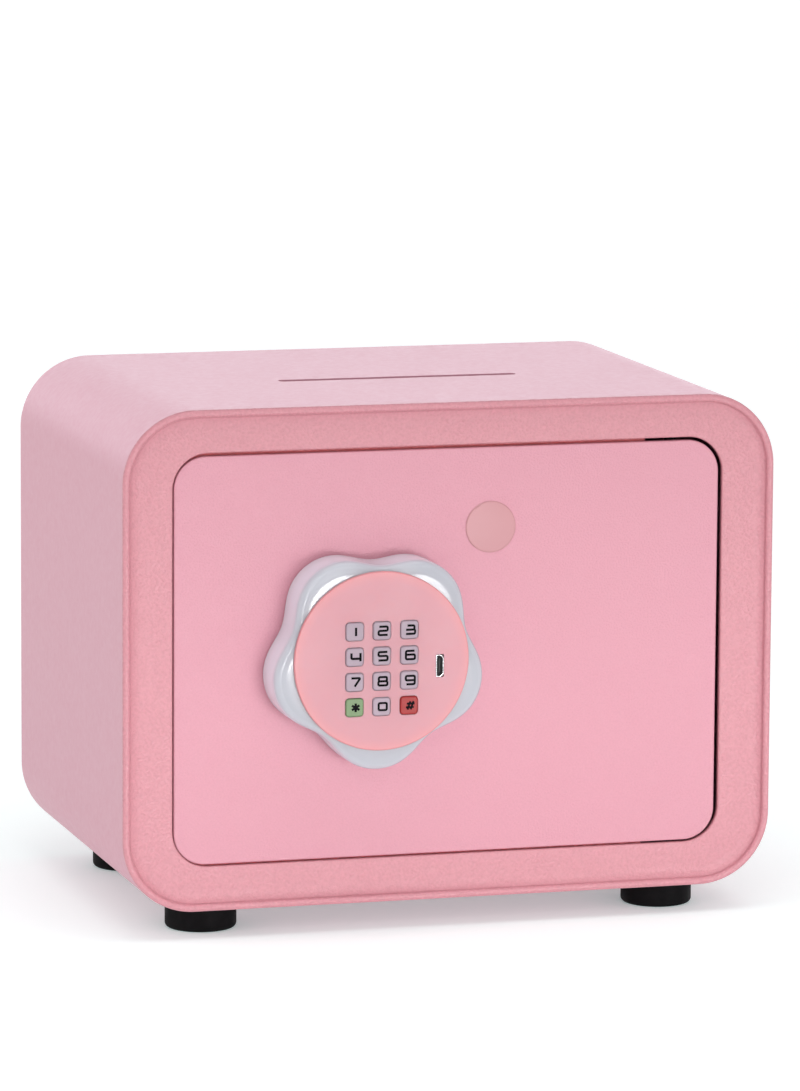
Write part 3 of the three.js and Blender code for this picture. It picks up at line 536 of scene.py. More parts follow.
def body_section():
    """The sheet's section as (inset, depth), a closed line: outer face, rounded lip, hem and inner face."""
    bead = LIP / 2
    back = BACK_Y - RIM_Y
    section = [(0, back - SHEET_EDGE)]
    section += [(0, back * share) for share in (0.75, 0.5, 0.25)]
    section += [(bead - u, bead - v) for u, v in arc((0, 0), bead, 0, 180, 14)]
    section += [(LIP, HEM_BACK), (SHEET + HEM_EDGE, HEM_BACK), (SHEET, HEM_BACK + HEM_EDGE)]
    section += [(SHEET, back - SHEET_EDGE), (SHEET - SHEET_EDGE, back), (SHEET_EDGE, back)]
    return section


def slot_cutter():
    """A round-ended block that cuts the money slot through the top."""
    half_length, half_width = SLOT_LENGTH / 2, SLOT_WIDTH / 2
    corner = half_width - 0.01 * MM
    outline = rounded_rectangle(
        -half_length, half_length, SLOT_Y - half_width, SLOT_Y + half_width, corner, 8,
    )
    above_and_below = (WRAP_HIGH.z - CUT_REACH, WRAP_HIGH.z + CUT_REACH)
    return loft("slot_cutter", [[Vector((x, y, z)) for x, y in outline] for z in above_and_below])


def foot_holes():
    """Cutters for the four screw holes in the bottom."""
    holes = []
    for name in FOOT_NAMES:
        x, y, _ = middle(f"foot_screw_{name}")
        profile = [(SCREW_HOLE, WRAP_LOW.z - CUT_REACH), (SCREW_HOLE, WRAP_LOW.z + CUT_REACH)]
        holes.append(turned(f"hole_{name}", profile, (x, y, 0), "Z", 32))
    return holes


def make_wrap():
    """The bent sheet with its rolled front lip, which shares the frame's coarser paint."""
    rings = [at_depth(body_outline(inset), RIM_Y + depth) for inset, depth in body_section()]
    wrap = loft("wrap_shell", rings, closed=True)
    cut(wrap, [slot_cutter(), *foot_holes()])
    place(wrap, "safe_body", "body_paint", BODY_PAINT, "body_wrap")
    wrap.data.materials.append(FRAME_PAINT)
    for face in wrap.data.polygons:
        if face.center.y < RIM_Y + LIP:
            face.material_index = 1


def opening(margin):
    """The door opening's outline, moved outwards into the frame."""
    return rounded_rectangle(
        -OPEN_HALF_WIDTH - margin, OPEN_HALF_WIDTH + margin,
        BODY_Z - OPEN_HALF_HEIGHT - margin, BODY_Z + OPEN_HALF_HEIGHT + margin,
        OPEN_CORNER + margin, FRAME_STEPS,
    )


def make_front_frame():
    """The recessed face round the door. Its outer edge rises to the lip in a small concave fillet."""
    outer = LIP + FRAME_FIT
    rings = []
    for u, v in arc((0, 0), 1, 180, 270, 8):
        inset = outer + FILLET_ACROSS * (1 + u)
        rings.append(at_depth(body_outline(inset, FRAME_STEPS), FACE_Y - FILLET_DEEP * (1 + v)))
    for inset, deep in rounding(OPEN_EDGE, 4):
        rings.append(at_depth(opening(inset), FACE_Y + deep))
    back = FACE_Y + FRAME_SHEET
    chamfer = 0.2 * MM
    rings.append(at_depth(opening(0), back - chamfer))
    rings.append(at_depth(opening(chamfer), back))
    rings.append(at_depth(body_outline(outer, FRAME_STEPS), back))
    face = loft("face_frame", rings, closed=True)
    place(face, "safe_body", "body_paint", FRAME_PAINT, "front_frame", sharp_degrees=50)


def make_strike_flange():
    """The folded flange on the left of the opening, with the two holes that the bolts shoot through."""
    inner = -OPEN_HALF_WIDTH
    front = FACE_Y + FRAME_SHEET + FRAME_FIT
    low, high = BODY_Z - FLANGE_HALF, BODY_Z + FLANGE_HALF
    outline = rounded_rectangle(front, FLANGE_BACK, low, high, FLANGE_EDGE, 4)
    rings = [[Vector((x, y, z)) for y, z in outline] for x in (inner - FLANGE_SHEET, inner)]
    flange = loft("strike_flange", rings)
    cutters = []
    for node in ("bolt_upper", "bolt_lower"):
        _, y, z = middle(node)
        profile = [(BOLT_HOLE, inner - CUT_REACH), (BOLT_HOLE, inner + CUT_REACH)]
        cutters.append(turned(f"hole_{node}", profile, (0, y, z), "X", 48))
    cut(flange, cutters)
    place(flange, "safe_body", "body_paint", FRAME_PAINT)


def stop_path(offset):
    """The opening's edge moved outwards, from above the hinge, round the left side, to below the hinge."""
    left = -OPEN_HALF_WIDTH - offset
    half = OPEN_HALF_HEIGHT + offset
    corner = OPEN_CORNER + offset
    points = [(STOP_RIGHT, BODY_Z + half)]
    points += arc((left + corner, BODY_Z + half - corner), corner, 90, 180, 16)
    points += arc((left + corner, BODY_Z - half + corner), corner, 180, 270, 16)
    return [*points, (STOP_RIGHT, BODY_Z - half)]


def make_door_stop():
    """The frame's folded edge, which turns inwards behind the door and stops it."""
    root = FACE_Y + FRAME_SHEET + FRAME_FIT
    back = STOP_FRONT + STOP_SHEET
    section = [
        (0, root), (0, STOP_FRONT), (STOP_EDGE - STOP_LIP, STOP_FRONT), (-STOP_LIP, STOP_FRONT + STOP_EDGE),
        (-STOP_LIP, back - STOP_EDGE), (STOP_EDGE - STOP_LIP, back), (STOP_WALL - STOP_EDGE, back),
        (STOP_WALL, back - STOP_EDGE), (STOP_WALL, root),
    ]
    paths = [at_depth(stop_path(offset), y) for offset, y in section]
    rings = [list(station) for station in zip(*paths)]
    place(loft("door_stop", rings), "safe_body", "body_paint", STOP_PAINTED_BOUNCE)


def make_back_panel():
    """The plate that closes the back, set inside the wrap."""
    low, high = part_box("back_panel")
    inner_edge, outer_edge, fit = 0.2 * MM, 0.5 * MM, 0.15 * MM

    def outline(inset):
        return body_outline(SHEET + fit + inset)

    panel = slab("rear_panel", outline, low.y, high.y, inner_edge, outer_edge)
    place(panel, "safe_body", "body_paint", BODY_PAINT, "back_panel")


def foot_profile(radius, top):
    """A foot's section as (radius, height): screw seat, sole with a round edge, side and top."""
    flat = radius - FOOT_SOLE_EDGE
    profile = [(FOOT_BORE, FOOT_SEAT), (FOOT_BORE, FOOT_CHAMFER), (FOOT_BORE + FOOT_CHAMFER, 0), (flat, 0)]
    profile += [(flat + u, FOOT_SOLE_EDGE + v) for u, v in arc((0, 0), FOOT_SOLE_EDGE, -80, 0, 8)]
    shoulder = ((0, 0.8 * MM), (0.3 * MM, 0.2 * MM), (0.9 * MM, 0))
    profile += [(radius - inset, top - down) for inset, down in shoulder]
    profile += [(SCREW_HOLE, top), (SCREW_HOLE, FOOT_SEAT)]
    return profile


def make_feet():
    """Four rubber feet, each with the screw that holds it from below."""
    for name in FOOT_NAMES:
        node = f"foot_{name}"
        x, y, _ = middle(node)
        profile = foot_profile(cad_radius(node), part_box(node)[1].z + FOOT_OVERLAP)
        foot = turned(f"rubber_foot_{name}", profile, (x, y, 0), "Z", 96, closed=True)
        place(foot, "safe_body", "foot_rubber", FOOT_RUBBER, node, sharp_degrees=50)
        make_foot_screw(name)


def screw_profile(bottom, top):
    """A sheet-metal screw's section as (radius, height): domed head below, thread ridges and point above."""
    dome = ((0, 0), (2.4 * MM, 0), (3.4 * MM, 0.35 * MM), (3.9 * MM, 1.0 * MM))
    profile = [(radius, bottom + up) for radius, up in dome]
    profile += [(SCREW_HEAD, SCREW_HEAD_TOP), (SCREW_THREAD, SCREW_HEAD_TOP)]
    pitch = (top - SCREW_HEAD_TOP - SCREW_POINT) / SCREW_TURNS
    for i in range(SCREW_TURNS):
        z = SCREW_HEAD_TOP + SCREW_NECK + pitch * i
        profile += [(SCREW_ROOT, z), (SCREW_THREAD, z + pitch / 2)]
    profile += [(1.2 * MM, top - SCREW_POINT / 2), (0, top)]
    return profile


def make_foot_screw(name):
    node = f"foot_screw_{name}"
    low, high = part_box(node)
    x, y, _ = middle(node)
    screw = turned(f"sheet_screw_{name}", screw_profile(low.z, high.z), (x, y, 0), "Z", 48)
    cut(screw, cross_recess(x, y, low.z))
    place(screw, "safe_body", "zinc_steel", ZINC, node)


def cross_recess(x, y, z):
    """Two crossed bars that make the drive recess in a screw head that faces down."""
    half, arm, below, deep = 0.4 * MM, 1.9 * MM, 1 * MM, 1.2 * MM
    return [
        boxed("recess_a", (x - arm, y - half, z - below), (x + arm, y + half, z + deep)),
        boxed("recess_b", (x - half, y - arm, z - below), (x + half, y + arm, z + deep)),
    ]


make_wrap()
make_front_frame()
make_strike_flange()
make_door_stop()
make_back_panel()
make_feet()

# ---------------------------------------------------------------- door


def make_door_plate():
    """The door's front plate, a little wider than its CAD box, for a finer gap round it."""

    def outline(inset):
        grown = DOOR_GROWN - inset
        return rounded_rectangle(
            DOOR_LOW.x - grown, DOOR_HIGH.x + grown, DOOR_LOW.z - grown, DOOR_HIGH.z + grown,
            DOOR_CORNER - inset, 20,
        )

    door = slab("door_skin", outline, FACE_Y, DOOR_HIGH.y, DOOR_FRONT_EDGE, DOOR_BACK_EDGE, 6)
    through = (FACE_Y - CUT_REACH, DOOR_HIGH.y + CUT_REACH)
    lock_hole = turned("lock_hole", [(LOCK_HOLE, y) for y in through], (COVER_X, 0, COVER_Z), "Y", 64)
    knob_hole = turned("knob_hole", [(KNOB_HOLE, y) for y in through], (KNOB_X, 0, KNOB_Z), "Y", 64)
    cut(door, [lock_hole, knob_hole])
    place(door, "door", "door_paint", DOOR_PAINT, "door_plate")


def cover_notch():
    """The fingernail notch at the cap's rim, turned to the place where it is seen."""
    low = (-COVER_NOTCH_HALF, COVER_SEAT - 2 * MM, COVER_RADIUS - COVER_NOTCH_DEEP)
    high = (COVER_NOTCH_HALF, COVER_SEAT - 0.12 * MM, COVER_RADIUS + 1 * MM)
    notch = boxed("notch", low, high)
    turn = Matrix.Rotation(COVER_NOTCH_TURN, 4, "Y")
    notch.data.transform(Matrix.Translation((COVER_X, 0, COVER_Z)) @ turn)
    return notch


def make_key_cover():
    """The round cap over the emergency lock: a shallow dome with a thin rim and a plug behind."""
    profile = [(0, COVER_SEAT - COVER_RISE)]
    for share in (0.15, 0.3, 0.45, 0.6, 0.75, 0.87, 0.94):
        dome = (COVER_RISE - COVER_EDGE) * (1 - share * share)
        profile.append((COVER_RADIUS * share, COVER_SEAT - COVER_EDGE - dome))
    profile += [(COVER_RADIUS - 0.25 * MM, COVER_SEAT - 0.38 * MM), (COVER_RADIUS, COVER_SEAT - 0.15 * MM)]
    profile += [(COVER_RADIUS, COVER_SEAT), (COVER_PLUG, COVER_SEAT)]
    plug_back = COVER_SEAT + COVER_PLUG_DEEP
    profile += [(COVER_PLUG - 0.1 * MM, plug_back), (0, plug_back)]
    cap = turned("key_cover_dome", profile, (COVER_X, 0, COVER_Z), "Y", 128)
    cut(cap, [cover_notch()])
    place(cap, "key_cover", "cap_plastic", CAP_PINK, "key_cover_cap")


make_door_plate()
make_key_cover()

# ---------------------------------------------------------------- knob

FLOWER_RADIUS = 35.15 * MM
FLOWER_LOBES = 5
FLOWER_LOBE = 2.77 * MM
FLOWER_BROADENING = 0.285 * MM
FLOWER_PHASE = math.radians(1.2)
FLOWER_STEPS = 200
SHOULDER_IN = 2.5 * MM
SHOULDER_DEEP = 2.6 * MM
CROWN_SLOPE = 0.7 * MM
KNOB_HUB = 7.2 * MM
KNOB_CAVITY = 26.5 * MM
KNOB_FLOOR = 4 * MM
RIM_EDGE = 0.4 * MM


def flower(inset):
    """Outline points (x, z) of the five-lobed knob about its own axis."""
    points = []
    for i in range(FLOWER_STEPS):
        angle = TAU * i / FLOWER_STEPS
        wave = FLOWER_LOBES * (angle + math.pi / 2 + FLOWER_PHASE)
        radius = FLOWER_RADIUS - inset
        radius += FLOWER_LOBE * math.cos(wave) - FLOWER_BROADENING * math.cos(2 * wave)
        points.append((KNOB_X + radius * math.cos(angle), KNOB_Z + radius * math.sin(angle)))
    return points


def circle(radius):
    """Outline points (x, z) of a circle about the knob's axis, as many as the flower has."""
    angles = [TAU * i / FLOWER_STEPS for i in range(FLOWER_STEPS)]
    return [(KNOB_X + radius * math.cos(a), KNOB_Z + radius * math.sin(a)) for a in angles]


def make_knob():
    """The white knob: upright wall, round shoulder, sloping crown, and a hollow behind the disc."""
    wall_top = KNOB_FRONT + CROWN_SLOPE + SHOULDER_DEEP
    floor = KNOB_BACK - KNOB_FLOOR
    rings = [
        at_depth(circle(KNOB_HUB), KNOB_BACK),
        at_depth(flower(1.2 * MM), KNOB_BACK),
        at_depth(flower(0.3 * MM), KNOB_BACK - 0.15 * MM),
        at_depth(flower(0), KNOB_BACK - 0.6 * MM),
        at_depth(flower(0), (KNOB_BACK + wall_top) / 2),
    ]
    for across, up in arc((0, 0), 1, 0, 90, 14):
        rings.append(at_depth(flower(SHOULDER_IN * (1 - across)), wall_top - SHOULDER_DEEP * up))
    for inset, share in ((3.6 * MM, 0.45), (5.0 * MM, 0.1)):
        rings.append(at_depth(flower(inset), KNOB_FRONT + CROWN_SLOPE * share))
    rings.append(at_depth(circle(KNOB_CAVITY + RIM_EDGE), KNOB_FRONT))
    rings.append(at_depth(circle(KNOB_CAVITY), KNOB_FRONT + RIM_EDGE))
    rings.append(at_depth(circle(KNOB_CAVITY), floor))
    rings.append(at_depth(circle(KNOB_HUB), floor))
    body = loft("flower_knob", rings, closed=True)
    place(body, "knob", "knob_white", KNOB_WHITE, "knob_body", sharp_degrees=60)


DISC_EDGE = 0.55 * MM
DISC_PLATE = 1.35 * MM
DISC_BOSS = 26.2 * MM
USB_GAP = 0.12 * MM
KEY_HALF = 3.1 * MM
KEY_CORNER = 1.2 * MM
KEY_CORNER_LEAST = 0.5 * MM
KEY_FACE_CORNER = 0.72 * MM
KEY_EDGE = 0.55 * MM
KEY_GAP = 0.16 * MM
KEY_PROUD = 0.02 * MM
COLLAR_HALF = 3.75 * MM
COLLAR_DOWN = 3.6 * MM
COLLAR_THICK = 1.2 * MM
COLLAR_EDGE = 0.05 * MM
STEM_HALF = 1.3 * MM
STEM_CORNER = 0.6 * MM


def key_centre(name):
    x, _, z = middle(f"key_{name}")
    return x, z


def square(x, z, half, corner, steps=8):
    """A square's outline with round corners."""
    return rounded_rectangle(x - half, x + half, z - half, z + half, corner, steps)


def disc_profile():
    """The disc's section as (radius, depth): face, round edge, back of the plate and the boss behind it."""
    front, back = DISC_LOW.y, DISC_HIGH.y
    profile = [(0, front)]
    profile += [(DISC_RADIUS * share, front) for share in (0.3, 0.6, 0.85)]
    profile += [(DISC_RADIUS - inset, front + deep) for inset, deep in rounding(DISC_EDGE, 6)]
    plate_back = front + DISC_PLATE
    chamfer = 0.1 * MM
    profile += [(DISC_RADIUS, plate_back - chamfer), (DISC_RADIUS - chamfer, plate_back)]
    profile += [(DISC_BOSS, plate_back), (DISC_BOSS, back), (0, back)]
    return profile


def make_disc():
    """The pink disc, with a square hole for each key and a slot for the socket."""
    disc = turned("keypad_disc", disc_profile(), (KNOB_X, 0, KNOB_Z), "Y", 192)
    through = (DISC_LOW.y - 1 * MM, DISC_HIGH.y + 1 * MM)
    cutters = []
    for name in KEY_NAMES:
        outline = square(*key_centre(name), KEY_HALF + KEY_GAP, KEY_CORNER + KEY_GAP)
        cutters.append(loft(f"hole_{name}", [at_depth(outline, y) for y in through]))
    low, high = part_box("usb_socket")
    outline = rounded_rectangle(
        low.x - USB_GAP, high.x + USB_GAP, low.z - USB_GAP, high.z + USB_GAP, 0.5 * MM, 4,
    )
    cutters.append(loft("usb_hole", [at_depth(outline, y) for y in through]))
    cut(disc, cutters)
    place(disc, "knob", "disc_pink", DISC_PINK, "knob_face")


def key_rings(x, z, front, back):
    """A key's sections from its face to its stem: round edge, straight sides, collar under the disc, stem."""
    face = front - KEY_PROUD
    rings = []
    for share in (0.35, 0.7):
        inner = square(x, z, (KEY_HALF - KEY_EDGE) * share, KEY_FACE_CORNER * share)
        rings.append(at_depth(inner, face))
    for inset, deep in rounding(KEY_EDGE, 6):
        corner = max(KEY_CORNER - inset, KEY_CORNER_LEAST)
        rings.append(at_depth(square(x, z, KEY_HALF - inset, corner), front + deep))
    collar = front + COLLAR_DOWN
    rings.append(at_depth(square(x, z, KEY_HALF, KEY_CORNER), collar))
    rings.append(at_depth(square(x, z, COLLAR_HALF, KEY_CORNER), collar + COLLAR_EDGE))
    rings.append(at_depth(square(x, z, COLLAR_HALF, KEY_CORNER), collar + COLLAR_THICK))
    rings.append(at_depth(square(x, z, STEM_HALF, STEM_CORNER), collar + COLLAR_THICK + COLLAR_EDGE))
    rings.append(at_depth(square(x, z, STEM_HALF, STEM_CORNER), back))
    return rings


def make_keys():
    """Twelve keys with their legends, each on its own body."""
    looks = {"star": ("key_green", KEY_GREEN), "hash": ("key_red", KEY_RED)}
    for name in KEY_NAMES:
        slot, material = looks.get(name, ("key_grey", KEY_GREY))
        low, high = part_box(f"key_{name}")
        x, z = key_centre(name)
        cap = loft(f"keycap_{name}", key_rings(x, z, low.y, high.y))
        place(cap, f"keypad_{name}", slot, material, f"key_{name}", sharp_degrees=50)
        make_legend(name, slot, x + LEGEND_SHIFT[0], z + LEGEND_SHIFT[1], low.y - KEY_PROUD)


# Each legend is drawn with strokes on a grid from -1 to 1; a stroke that ends where it starts is closed.
LEGENDS = {
    "1": [[(0, 1), (0, -1)]],
    "2": [[(-0.85, 1), (1, 1), (1, 0), (-1, 0), (-1, -1), (1, -1)]],
    "3": [[(-0.7, 1), (0.85, 1), (0.85, 0), (-1, 0)], [(0.4, 0), (1, 0), (1, -1), (-1, -1)]],
    "4": [[(-1, 1), (-1, -0.35), (1, -0.35)], [(1, 1), (1, -1)]],
    "5": [[(0.95, 1), (-1, 1), (-1, 0.05), (1, 0.05), (1, -1), (-1, -1)]],
    "6": [[(0.9, 1), (-1, 1), (-1, -1), (1, -1), (1, 0.1), (-0.95, 0.1)]],
    "7": [[(-1, 1), (1, 1), (-0.25, -1)]],
    "8": [
        [(-0.9, 0), (-0.9, 1), (0.9, 1), (0.9, 0), (-0.9, 0)],
        [(-1, 0), (1, 0), (1, -1), (-1, -1), (-1, 0)],
    ],
    "9": [[(-0.85, -1), (1, -1), (1, 1), (-1, 1), (-1, -0.05), (0.95, -0.05)]],
    "0": [[(-0.9, -0.85), (0.9, -0.85), (0.9, 0.85), (-0.9, 0.85), (-0.9, -0.85)]],
    "star": [[(0, 0.8), (0, -0.8)], [(-0.65, 0.42), (0.65, -0.42)], [(-0.65, -0.42), (0.65, 0.42)]],
    "hash": [
        [(-0.45, -0.8), (0.05, 0.8)], [(0.1, -0.8), (0.6, 0.8)],
        [(-0.6, 0.35), (0.8, 0.35)], [(-0.75, -0.35), (0.65, -0.35)],
    ],
}
LEGEND_HALF = (1.58 * MM, 1.42 * MM)
LEGEND_SHIFT = (0.28 * MM, 0.05 * MM)
LEGEND_CORNER = 0.55 * MM
LEGEND_FLATNESS = 0.12
LEGEND_STROKE = 0.4 * MM
LEGEND_STROKES = {"star": 0.42 * MM, "hash": 0.37 * MM}
LEGEND_SCALES = {"star": 1.3, "hash": 1.25}


def rounded_path(points, radius, closed, steps=6):
    """Replaces each corner of a stroke by a short curve."""
    path = []
    count = len(points)
    for i, point in enumerate(points):
        here = Vector(point)
        is_corner = closed or 0 < i < count - 1
        if not is_corner:
            path.append(here)
            continue
        before = Vector(points[i - 1])
        after = Vector(points[(i + 1) % count])
        reach = min(radius, (before - here).length / 2, (after - here).length / 2)
        start = here + (before - here).normalized() * reach
        end = here + (after - here).normalized() * reach
        for step in range(steps + 1):
            t = step / steps
            path.append((1 - t) ** 2 * start + 2 * t * (1 - t) * here + t * t * end)
    return path


def draw_strokes(name):
    """A legend's strokes as a curve with a round section, about the origin."""
    curve = bpy.data.curves.new(f"legend_{name}", "CURVE")
    curve.dimensions = "3D"
    curve.bevel_depth = LEGEND_STROKES.get(name, LEGEND_STROKE)
    curve.bevel_resolution = 3
    curve.use_fill_caps = True
    scale = LEGEND_SCALES.get(name, 1)
    for stroke in LEGENDS[name]:
        closed = len(stroke) > 2 and stroke[0] == stroke[-1]
        corners = stroke[:-1] if closed else stroke
        scaled = [(u * LEGEND_HALF[0] * scale, v * LEGEND_HALF[1] * scale) for u, v in corners]
        path = rounded_path(scaled, LEGEND_CORNER, closed)
        spline = curve.splines.new("POLY")
        spline.points.add(len(path) - 1)
        spline.use_cyclic_u = closed
        for target, (u, v) in zip(spline.points, path):
            target.co = (u, 0, v, 1)
    return curve


def make_legend(name, slot, x, z, y):
    """Printed strokes, as flattened cords that stand a few hundredths of a millimetre off the key."""
    drawn = bpy.data.objects.new("stroke", draw_strokes(name))
    bpy.context.scene.collection.objects.link(drawn)
    graph = bpy.context.evaluated_depsgraph_get()
    mesh = bpy.data.meshes.new_from_object(drawn.evaluated_get(graph))
    bpy.data.objects.remove(drawn)
    mesh.transform(Matrix.Translation((x, y, z)) @ Matrix.Diagonal((1, LEGEND_FLATNESS, 1, 1)))
    legend = bpy.data.objects.new(f"legend_{name}", mesh)
    bpy.context.scene.collection.objects.link(legend)
    tidy_normals(legend)
    place(legend, f"keypad_{name}", slot, INK)


USB_FRONT = DISC_LOW.y - 0.05 * MM
USB_WALL = 0.32 * MM
USB_NIB = 0.95 * MM
USB_CORNER = 0.35 * MM
USB_DEEP = 1.2 * MM
TONGUE_HALF_THICK = 0.32 * MM
TONGUE_HALF_LONG = 2.4 * MM


def usb_outline(inset):
    """A micro USB mouth stood on end: one long side is shorter, with cut corners."""
    low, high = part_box("usb_socket")
    x0, x1, z0, z1 = low.x + inset, high.x - inset, low.z + inset, high.z - inset
    points = [
        (x1, z0 + USB_NIB), (x1, z1 - USB_NIB), (x1 - USB_NIB, z1),
        (x0, z1), (x0, z0), (x1 - USB_NIB, z0),
    ]
    return [(p.x, p.y) for p in rounded_path(points, USB_CORNER, True)]


def make_usb_shell(back):
    """The socket's steel shell, with a rolled mouth and a blind end."""
    mouth = [
        (0, back), (0, USB_FRONT + 0.08 * MM), (0.08 * MM, USB_FRONT),
        (USB_WALL - 0.05 * MM, USB_FRONT), (USB_WALL, USB_FRONT + 0.06 * MM), (USB_WALL, back - USB_DEEP),
    ]
    shell = loft("usb_shell", [at_depth(usb_outline(inset), y) for inset, y in mouth])
    place(shell, "knob", "bright_steel", BRIGHT, "usb_socket", sharp_degrees=50)


def make_usb_tongue(back):
    """The contact tongue that stands in the mouth."""
    centre = middle("usb_socket")
    x, z = centre.x + 0.1 * MM, centre.z
    start, chamfer = USB_FRONT + 1.0 * MM, 0.1 * MM
    rings = []
    for inset, y in ((0.08 * MM, start), (0, start + chamfer), (0, back - USB_DEEP - chamfer)):
        thick, long = TONGUE_HALF_THICK - inset, TONGUE_HALF_LONG - inset
        outline = rounded_rectangle(x - thick, x + thick, z - long, z + long, 0.15 * MM, 3)
        rings.append(at_depth(outline, y))
    place(loft("usb_tongue", rings), "knob", "black_plastic", BLACK_PLASTIC)


def make_usb_liner(back):
    """The dark block that fills the bottom of the mouth."""
    fit = 0.02 * MM
    liner = slab("usb_liner", lambda inset: usb_outline(USB_WALL + fit + inset),
                 USB_FRONT + 2.4 * MM, back - USB_DEEP - 0.05 * MM)
    place(liner, "knob", "black_plastic", BLACK_PLASTIC)


def make_usb():
    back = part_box("usb_socket")[1].y
    make_usb_shell(back)
    make_usb_tongue(back)
    make_usb_liner(back)


make_knob()
make_disc()
make_keys()
make_usb()

# ---------------------------------------------------------------- inner pieces kept from the frame

# The hinge brackets and pins take the near-black steel that stands in for painted shade in the hinge-side
# gap.
KEPT = {
    "hinge_bracket_top": HINGE_PAINTED_SHADE, "hinge_bracket_bottom": HINGE_PAINTED_SHADE,
    "hinge_pin_top": HINGE_PAINTED_SHADE, "hinge_pin_bottom": HINGE_PAINTED_SHADE,
    "door_pan": BODY_PAINT, "door_back_cover": BODY_PAINT, "knob_bush": BRASS, "carriage_guide": ZINC,
    "solenoid_frame": ZINC, "solenoid_coil": COPPER, "battery_box": BLACK_PLASTIC,
    "battery_1": SLEEVE, "battery_2": SLEEVE, "battery_3": SLEEVE, "battery_4": SLEEVE,
    "cover_screw_1": ZINC, "cover_screw_2": ZINC, "lock_cylinder": ZINC, "solenoid_plunger": ZINC,
    "plunger_spring": ZINC, "bolt_carriage": ZINC, "bolt_upper": BRIGHT, "bolt_lower": BRIGHT,
    "keypad_board": BOARD_GREEN, "knob_shaft": ZINC, "drive_plate": ZINC, "circlip": ZINC,
    "lock_plug": BRASS, "lock_cam": ZINC, "battery_cover": BLACK_PLASTIC, "reset_button": RED_PLASTIC,
}


def dress(node, material):
    """Gives a CAD node its material, a small bevel and smooth shading."""
    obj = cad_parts[node]
    obj.data.materials.clear()
    obj.data.materials.append(material)
    weld = obj.modifiers.new("weld", "WELD")
    weld.merge_threshold = 0.001 * MM
    bevel = obj.modifiers.new("bevel", "BEVEL")
    bevel.width = 0.25 * MM
    bevel.segments = 2
    bevel.limit_method = "ANGLE"
    bevel.angle_limit = math.radians(35)
    bevel.harden_normals = True


for node, material in KEPT.items():
    dress(node, material)

# ---------------------------------------------------------------- stage, light and camera

FLOOR_HALF = 12.0
FLOOR_GLOW = 0.275
# Near the object the floor's glow is a little green and blue, which balances the pink light that the object
# throws on it.
GLOW_NEAR = (0.78, 1, 0.985)
GLOW_FAR = (1, 1, 1)
WORLD_STRENGTH = 0.57
OBJECT_MIDDLE = (0, 0, 0.1)
LOWER_FACE = (0, -0.07, 0.05)


def make_floor():
    """The pale floor, which glows faintly so that it stays paler than the object."""
    h = FLOOR_HALF
    floor = make_object("floor", [(-h, -h, 0), (h, -h, 0), (h, h, 0), (-h, h, 0)], [(0, 1, 2, 3)])
    n = Nodes("pale floor")
    n.set(Roughness=0.9, Specular_IOR_Level=0.1, Emission_Strength=FLOOR_GLOW)
    metres_away = n.vector("LENGTH", n.space)["Value"]
    n.colours(metres_away, [(0.2, GLOW_NEAR), (0.9, GLOW_FAR)], "Emission Color")
    n.colours(n.noise(3, 2), [(0.3, (0.89, 0.91, 0.905)), (0.7, (0.90, 0.92, 0.915))])
    floor.data.materials.append(n.material)


def make_world():
    """Even white light from all round."""
    world = bpy.data.worlds.new("studio")
    bpy.context.scene.world = world
    world.use_nodes = True
    background = world.node_tree.nodes["Background"]
    background.inputs["Color"].default_value = (1, 1, 1, 1)
    background.inputs["Strength"].default_value = WORLD_STRENGTH


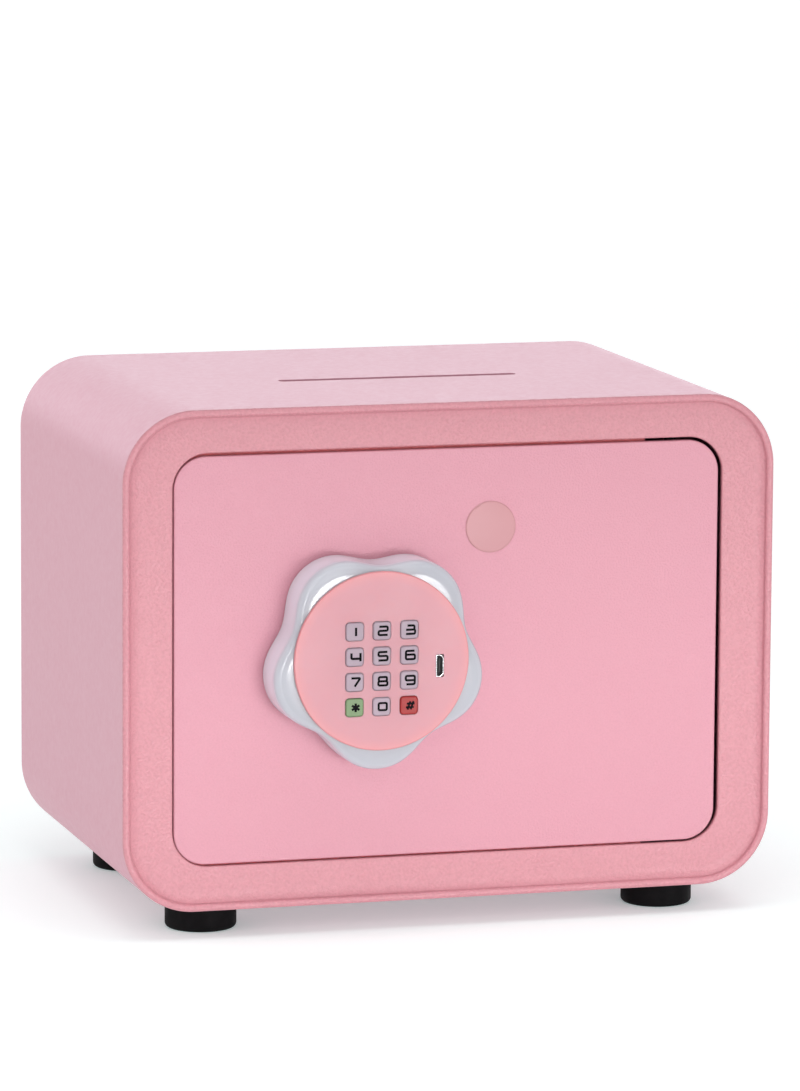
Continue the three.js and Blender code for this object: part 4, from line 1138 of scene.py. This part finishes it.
def area_light(name, size, power, position, target=OBJECT_MIDDLE, colour=(1, 1, 1), spread=180):
    """A soft light. size is its width and height, and spread its opening angle in degrees."""
    data = bpy.data.lights.new(name, "AREA")
    data.shape = "RECTANGLE"
    data.size, data.size_y = size
    data.energy = power
    data.color = colour
    data.spread = math.radians(spread)
    light = bpy.data.objects.new(name, data)
    light.location = position
    direction = Vector(target) - Vector(position)
    light.rotation_euler = direction.to_track_quat("-Z", "Y").to_euler()
    bpy.context.scene.collection.objects.link(light)


# The camera's place in millimetres from the middle of the body's front rim, and its angles in degrees.
CAMERA_PLACE = (-611.2, -2028.6, 365.6)
CAMERA_YAW, CAMERA_PITCH, CAMERA_ROLL = 16.28, 8.83, 0.36
CAMERA_LENS = 208.8
CAMERA_SENSOR = 36
CAMERA_CLIP = (0.05, 60)


def make_camera():
    """A long lens from the front left and a little above, turned as in the photograph."""
    data = bpy.data.cameras.new("camera")
    data.lens = CAMERA_LENS
    data.sensor_width = CAMERA_SENSOR
    data.clip_start, data.clip_end = CAMERA_CLIP
    camera = bpy.data.objects.new("camera", data)
    yaw, pitch, roll = (math.radians(v) for v in (CAMERA_YAW, CAMERA_PITCH, CAMERA_ROLL))
    forward = Vector((math.sin(yaw) * math.cos(pitch), math.cos(yaw) * math.cos(pitch), -math.sin(pitch)))
    level = Vector((math.cos(yaw), -math.sin(yaw), 0))
    upright = level.cross(forward)
    right = level * math.cos(roll) + upright * math.sin(roll)
    up = upright * math.cos(roll) - level * math.sin(roll)
    turn = Matrix((right, up, -forward)).transposed().to_4x4()
    rim = Vector((0, RIM_Y, BODY_Z))
    camera.matrix_world = Matrix.Translation(rim + Vector(CAMERA_PLACE) * MM) @ turn
    bpy.context.scene.collection.objects.link(camera)
    bpy.context.scene.camera = camera


def make_lights():
    """A broad key in front, a low strip for the face, and soft light from above, behind and the left."""
    area_light("key", (2.4, 1.4), 15.5, (-0.3, -2.6, 1.2))
    area_light("low", (1.0, 0.08), 0.3, (0.1, -0.75, 0.05), LOWER_FACE, spread=40)
    area_light("top", (1.6, 1.0), 10, (0, -0.6, 2.0))
    area_light("back", (7.0, 2.6), 92, (0, 5.2, 1.45), colour=(0.93, 0.92, 1.0))
    area_light("left", (1.6, 1.2), 6, (-2.2, 0.3, 0.8))


make_floor()
make_world()
make_lights()
make_camera()
bpy.context.scene.view_settings.view_transform = "Standard"
